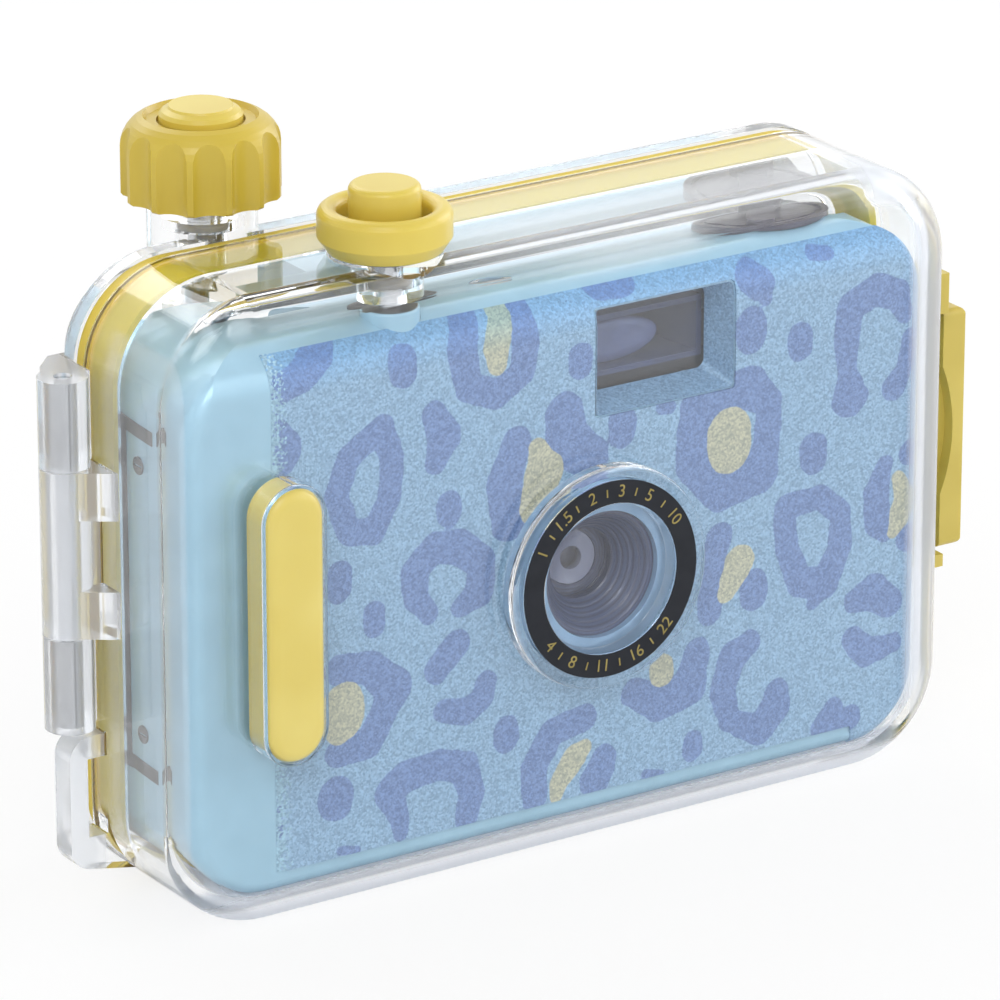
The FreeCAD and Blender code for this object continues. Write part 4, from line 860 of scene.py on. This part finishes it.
def addRingFigures():
    s = ringSettings
    marks = []
    figures = [(word, turn, 0) for word, turn in s["topFigures"]]
    figures += [(word, 180 - turn, 180) for word, turn in s["lowFigures"]]
    for word, turn, flip in figures:
        figure = added(bpy.ops.object.text_add)
        figure.data.body = word
        figure.data.size = s["figureSize"] * mm
        figure.data.extrude = s["ink"] * mm
        figure.data.align_x = "CENTER"
        figure.data.align_y = "CENTER"
        bpy.ops.object.convert(target="MESH")
        figure = bpy.context.object
        figure.data.transform(Matrix.Rotation(math.radians(flip), 4, "Z"))
        standUp(figure, s["radius"], turn)
        marks.append(figure)
    wide, tall = s["tickSize"]
    for a, b in zip(figures, figures[1:]):
        if a[2] == b[2]:
            tick = added(bpy.ops.mesh.primitive_cube_add, size=1)
            tick.data.transform(Matrix.Diagonal((wide * mm, tall * mm, 2 * s["ink"] * mm, 1)))
            standUp(tick, s["radius"], (a[1] + b[1]) / 2)
            marks.append(tick)
    bpy.ops.object.select_all(action="DESELECT")
    for mark in marks:
        mark.select_set(True)
    bpy.context.view_layer.objects.active = marks[0]
    bpy.ops.object.join()
    finishPiece(bpy.context.object, "ringFigures", "case_and_camera", finishes["gold"])


addRingFigures()
print("ring figures ready")


pupilSettings = {
    "rim": (3.4, -16.5),         # radius and y of each step behind the lens
    "step": (1.5, -16.3),
    "throat": (1.3, -15.5),
    "end": -15.3,
    "wall": 0.08,
    "sides": 64,
    "sharp": 30,
    "glass": (128, 134, 158),
    "pale": (142, 148, 172),
    # painted shade deep in the throat
    "dark": (48, 50, 70),
    "rough": 0.2,
    "coat": 0.6,
}


# Bluish coated glass, pale at the rim, with painted shade darkening it into the throat
def makeLensDepth():
    s = pupilSettings
    mat, tree, bsdf = newFinish("coatedGlass")
    setLook(bsdf, colour(*s["glass"]), s["rough"], coat=s["coat"])
    depth = addRise(tree, axesOf(tree)["Y"], s["step"][1], s["throat"][1])
    # painted shade: darker with depth into the throat
    tone = addRamp(tree, depth, ((0.0, colour(*s["pale"])), (1.0, colour(*s["dark"]))))
    tree.links.new(tone, bsdf.inputs["Base Color"])
    return mat


# The coated glass and the throat, darkened with painted shade, that show through the front lens
def addLensDepth():
    s = pupilSettings
    x, z = lensCentre
    radius, y = s["rim"]
    ring = {"vertices": s["sides"], "radius": radius * mm, "fill_type": "NOTHING"}
    throat = added(bpy.ops.mesh.primitive_circle_add, **ring)
    bpy.ops.object.mode_set(mode="EDIT")
    bpy.ops.mesh.select_all(action="SELECT")
    for nextRadius, nextY in (s["step"], s["throat"], (s["throat"][0], s["end"])):
        bpy.ops.mesh.extrude_region_move(TRANSFORM_OT_translate={"value": (0, 0, (y - nextY) * mm)})
        bpy.ops.transform.resize(value=(nextRadius / radius, nextRadius / radius, 1))
        radius, y = nextRadius, nextY
    bpy.ops.mesh.edge_face_add()
    bpy.ops.mesh.select_all(action="SELECT")
    bpy.ops.mesh.normals_make_consistent(inside=False)
    bpy.ops.object.mode_set(mode="OBJECT")
    tilt = Matrix.Rotation(math.radians(90), 4, "X")
    throat.data.transform(Matrix.Translation((x * mm, s["rim"][1] * mm, z * mm)) @ tilt)
    end = max(throat.data.polygons, key=lambda face: face.center.y)
    thicken(throat, s["wall"], -1 if end.normal.y < 0 else 1)
    smoothUnder(s["sharp"])
    finishPiece(throat, "lensThroat", "case_and_camera", makeLensDepth())


addLensDepth()
print("lens depth ready")


finderSettings = {
    "front": (15.6, 67.9, 11.05, 7.35, 0.6),  # centre, half sizes and corner of the funnel's mouth
    "back": (15.6, 68.2, 9.2, 5.8, 1.3),
    "backY": -17.88,
    "belowSkin": 0.12,
    "steps": 12,                 # points round each corner and along each side
    "wall": 0.1,
    "lensSeen": (600, 337),      # photo pixel of the pale lens behind the pane
    "lensY": -14.6,
    "lensSize": (8.2, 3.1, 0.9),  # half the width, half the height and the bulge
    "lensSides": (48, 24),
    "sharp": 40,
}


def roundedLoop(midX, midZ, halfX, halfZ, corner, steps):
    points = []
    for turn, (sideX, sideZ) in enumerate(((1, 1), (-1, 1), (-1, -1), (1, -1))):
        for step in range(steps + 1):
            angle = math.radians(90 * (turn + step / steps))
            points.append((midX + sideX * (halfX - corner) + corner * math.cos(angle),
                           midZ + sideZ * (halfZ - corner) + corner * math.sin(angle)))
        endX, endZ = points[-1]
        ahead = ((-1, 1), (-1, -1), (1, -1), (1, 1))[turn]
        nextX = midX + ahead[0] * (halfX - corner) + corner * math.cos(angle)
        nextZ = midZ + ahead[1] * (halfZ - corner) + corner * math.sin(angle)
        for step in range(1, steps):
            share = step / steps
            points.append((endX + (nextX - endX) * share, endZ + (nextZ - endZ) * share))
    return points


def addFinderFunnel():
    s = finderSettings
    funnel = added(bpy.ops.mesh.primitive_plane_add, size=1)
    mesh = bmesh.new()
    front = [mesh.verts.new((x * mm, (skinDepth(x, z) + s["belowSkin"]) * mm, z * mm))
             for x, z in roundedLoop(*s["front"], s["steps"])]
    back = [mesh.verts.new((x * mm, s["backY"] * mm, z * mm)) for x, z in roundedLoop(*s["back"], s["steps"])]
    for index in range(len(front)):
        mesh.faces.new((front[index - 1], front[index], back[index], back[index - 1]))
    bmesh.ops.recalc_face_normals(mesh, faces=mesh.faces)
    mesh.normal_update()
    low = min(mesh.faces, key=lambda face: face.calc_center_median().z)
    if low.normal.z < 0:
        bmesh.ops.reverse_faces(mesh, faces=mesh.faces)
    mesh.to_mesh(funnel.data)
    mesh.free()
    thicken(funnel, s["wall"], -1)
    smoothUnder(s["sharp"])
    finishPiece(funnel, "finderFunnel", "case_and_camera", makeSkinPrint("glitterSkin", False))


# The bulging lens that shows pale behind the viewfinder pane
def addFinderLens():
    s = finderSettings
    seen = seenOn(*s["lensSeen"], s["lensY"])
    segments, rings = s["lensSides"]
    lens = added(bpy.ops.mesh.primitive_uv_sphere_add, segments=segments, ring_count=rings, radius=1)
    bpy.ops.object.mode_set(mode="EDIT")
    bpy.ops.mesh.select_all(action="SELECT")
    bpy.ops.mesh.bisect(plane_co=(0, 0, 0), plane_no=(0, 1, 0), clear_outer=True, use_fill=True)
    bpy.ops.object.mode_set(mode="OBJECT")
    wide, tall, bulge = s["lensSize"]
    size = Matrix.Diagonal((wide * mm, bulge * mm, tall * mm, 1))
    lens.data.transform(Matrix.Translation((seen.x * mm, s["lensY"] * mm, seen.z * mm)) @ size)
    smoothUnder(s["sharp"])
    finishPiece(lens, "finderLens", "case_and_camera", finishes["finderGlass"])


addFinderFunnel()
addFinderLens()
print("viewfinder ready")


sideSettings = {
    "face": -58.2,               # x of the camera's left side
    "middle": 44.4,              # the details repeat above and below this height
    "seam": ((-4.6, 1.6), (-8.6, 0.3), (-12.0, 0.0), (-16.0, -0.2)),  # y and rise of its wave
    "seamReach": 23.6,           # height of the seams from the middle
    "seamTall": 1.9,
    "strip": ((-7.3, -9.4), 24.5),  # the seam gap behind the cover's edge, a black strip of painted shade, and half its height
    "proud": 0.12,
    "screw": (-12.4, 18.8, 1.25),  # y, height from the middle and radius
    "screwTall": 0.45,
    "screwSides": 32,
    "screwEdge": 0.12,
    "slot": (0.32, 1.9, 0.5),
}


def addSideStrip(name, places):
    s = sideSettings
    strip = added(bpy.ops.mesh.primitive_plane_add, size=1)
    mesh = bmesh.new()
    rows = []
    for y, low, high in places:
        rows.append([mesh.verts.new((s["face"] * mm, y * mm, z * mm)) for z in (low, high)])
    for (a, b), (c, d) in zip(rows, rows[1:]):
        mesh.faces.new((a, c, d, b))
    bmesh.ops.recalc_face_normals(mesh, faces=mesh.faces)
    mesh.normal_update()
    if mesh.faces[:][0].normal.x > 0:
        bmesh.ops.reverse_faces(mesh, faces=mesh.faces)
    mesh.to_mesh(strip.data)
    mesh.free()
    thicken(strip, s["proud"], 1)
    finishPiece(strip, name, "case_and_camera", finishes["black"])


def addSideScrew(name, up):
    s = sideSettings
    y, high, radius = s["screw"]
    size = {"radius": radius * mm, "depth": s["screwTall"] * mm}
    screw = added(bpy.ops.mesh.primitive_cylinder_add, vertices=s["screwSides"], **size)
    edge = screw.modifiers.new("screwEdge", "BEVEL")
    edge.width = s["screwEdge"] * mm
    edge.segments = 2
    bpy.ops.object.modifier_apply(modifier=edge.name)
    wide, long, deep = s["slot"]
    slot = added(bpy.ops.mesh.primitive_cube_add, size=1)
    slot.data.transform(Matrix.Translation((0, 0, s["screwTall"] / 2 * mm)) @
                        Matrix.Diagonal((wide * mm, long * mm, deep * mm, 1)))
    cut = screw.modifiers.new("screwSlot", "BOOLEAN")
    cut.object = slot
    cut.operation = "DIFFERENCE"
    bpy.ops.object.select_all(action="DESELECT")
    bpy.context.view_layer.objects.active = screw
    screw.select_set(True)
    bpy.ops.object.modifier_apply(modifier=cut.name)
    bpy.data.objects.remove(slot)
    tilt = Matrix.Rotation(math.radians(-90), 4, "Y")
    place = (s["face"] * mm, y * mm, (s["middle"] + up * high) * mm)
    screw.data.transform(Matrix.Translation(place) @ tilt)
    finishPiece(screw, name, "case_and_camera", finishes["black"])


def addHingeSide():
    s = sideSettings
    half = s["seamTall"] / 2
    for up, where in ((1, "High"), (-1, "Low")):
        middle = s["middle"] + up * s["seamReach"]
        seam = [(y, middle + rise - half, middle + rise + half) for y, rise in s["seam"]]
        addSideStrip("sideSeam" + where, seam)
        addSideScrew("sideScrew" + where, up)
    ends, reach = s["strip"]
    # painted shade: a black strip for the shade in the seam gap behind the cover's edge
    addSideStrip("sideGapShade", [(y, s["middle"] - reach, s["middle"] + reach) for y in ends])


addHingeSide()
print("hinge side ready")


wellSettings = {
    "centre": (-19.4, -8.8),     # x and y of the black oval dish behind the camera's own button, painted shade under the shutter ring
    "top": 78.8,
    "steps": ((4.0, 0.0), (4.0, 0.22), (3.7, 0.34), (3.2, 0.34), (3.0, 0.16), (0.0, 0.12)),  # radius and rise
    "stretch": 1.65,             # how much wider than deep
    "sides": 64,
    "sharp": 30,
    "merge": 0.001,
}


# painted shade: a black dish that darkens the camera top under the shutter ring
def addButtonShadeWell():
    s = wellSettings
    x, y = s["centre"]
    well = added(bpy.ops.mesh.primitive_plane_add, size=1)
    mesh = bmesh.new()
    points = [mesh.verts.new((radius * mm, 0, rise * mm)) for radius, rise in s["steps"]]
    edges = [mesh.edges.new(pair) for pair in zip(points, points[1:])]
    turn = {"cent": (0, 0, 0), "axis": (0, 0, 1), "angle": math.radians(360), "steps": s["sides"]}
    bmesh.ops.spin(mesh, geom=points + edges, **turn)
    bmesh.ops.remove_doubles(mesh, verts=mesh.verts, dist=s["merge"] * mm)
    bmesh.ops.recalc_face_normals(mesh, faces=mesh.faces)
    mesh.to_mesh(well.data)
    mesh.free()
    place = Matrix.Translation((x * mm, y * mm, s["top"] * mm))
    well.data.transform(place @ Matrix.Diagonal((s["stretch"], 1, 1, 1)))
    smoothUnder(s["sharp"])
    finishPiece(well, "buttonShadeWell", "case_and_camera", finishes["black"])


addButtonShadeWell()
print("button well ready")


springSettings = {
    "wire": 0.5,
    "turns": 5,
    "steps": 36,    # sides to each turn
    "around": 14,
    "travel": 1.5,  # how far the shutter cap presses it down
    "sharp": 60,
    "merge": 0.001,
}


def addReturnSpring():
    s = springSettings
    low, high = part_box("shutter_spring")
    wire = s["wire"] * mm
    tall = high[2] - low[2]
    radius = (high[0] - low[0] - wire) / 2
    x, y = (low[0] + high[0]) / 2, (low[1] + high[1]) / 2
    ring = {"vertices": s["around"], "radius": wire / 2, "fill_type": "NOTHING"}
    spring = added(bpy.ops.mesh.primitive_circle_add, **ring)
    stand = Matrix.Translation((radius, 0, 0)) @ Matrix.Rotation(math.radians(90), 4, "X")
    spring.data.transform(stand)
    coil = spring.modifiers.new("springCoil", "SCREW")
    coil.axis = "Z"
    coil.angle = math.radians(360)
    coil.screw_offset = (tall - wire) / s["turns"]
    coil.iterations = s["turns"]
    coil.steps = coil.render_steps = s["steps"]
    bpy.ops.object.modifier_apply(modifier=coil.name)
    mesh = bmesh.new()
    mesh.from_mesh(spring.data)
    bmesh.ops.remove_doubles(mesh, verts=mesh.verts, dist=s["merge"] * mm)
    bmesh.ops.holes_fill(mesh, edges=[edge for edge in mesh.edges if edge.is_boundary], sides=s["around"])
    bmesh.ops.recalc_face_normals(mesh, faces=mesh.faces)
    mesh.to_mesh(spring.data)
    mesh.free()
    spring.data.transform(Matrix.Translation((x, y, low[2] + wire / 2)))
    smoothUnder(s["sharp"])
    finishPiece(spring, "returnSpring", "case_and_camera", finishes["steel"])
    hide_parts("shutter_spring")
    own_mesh(spring)


addReturnSpring()
print("return spring ready")
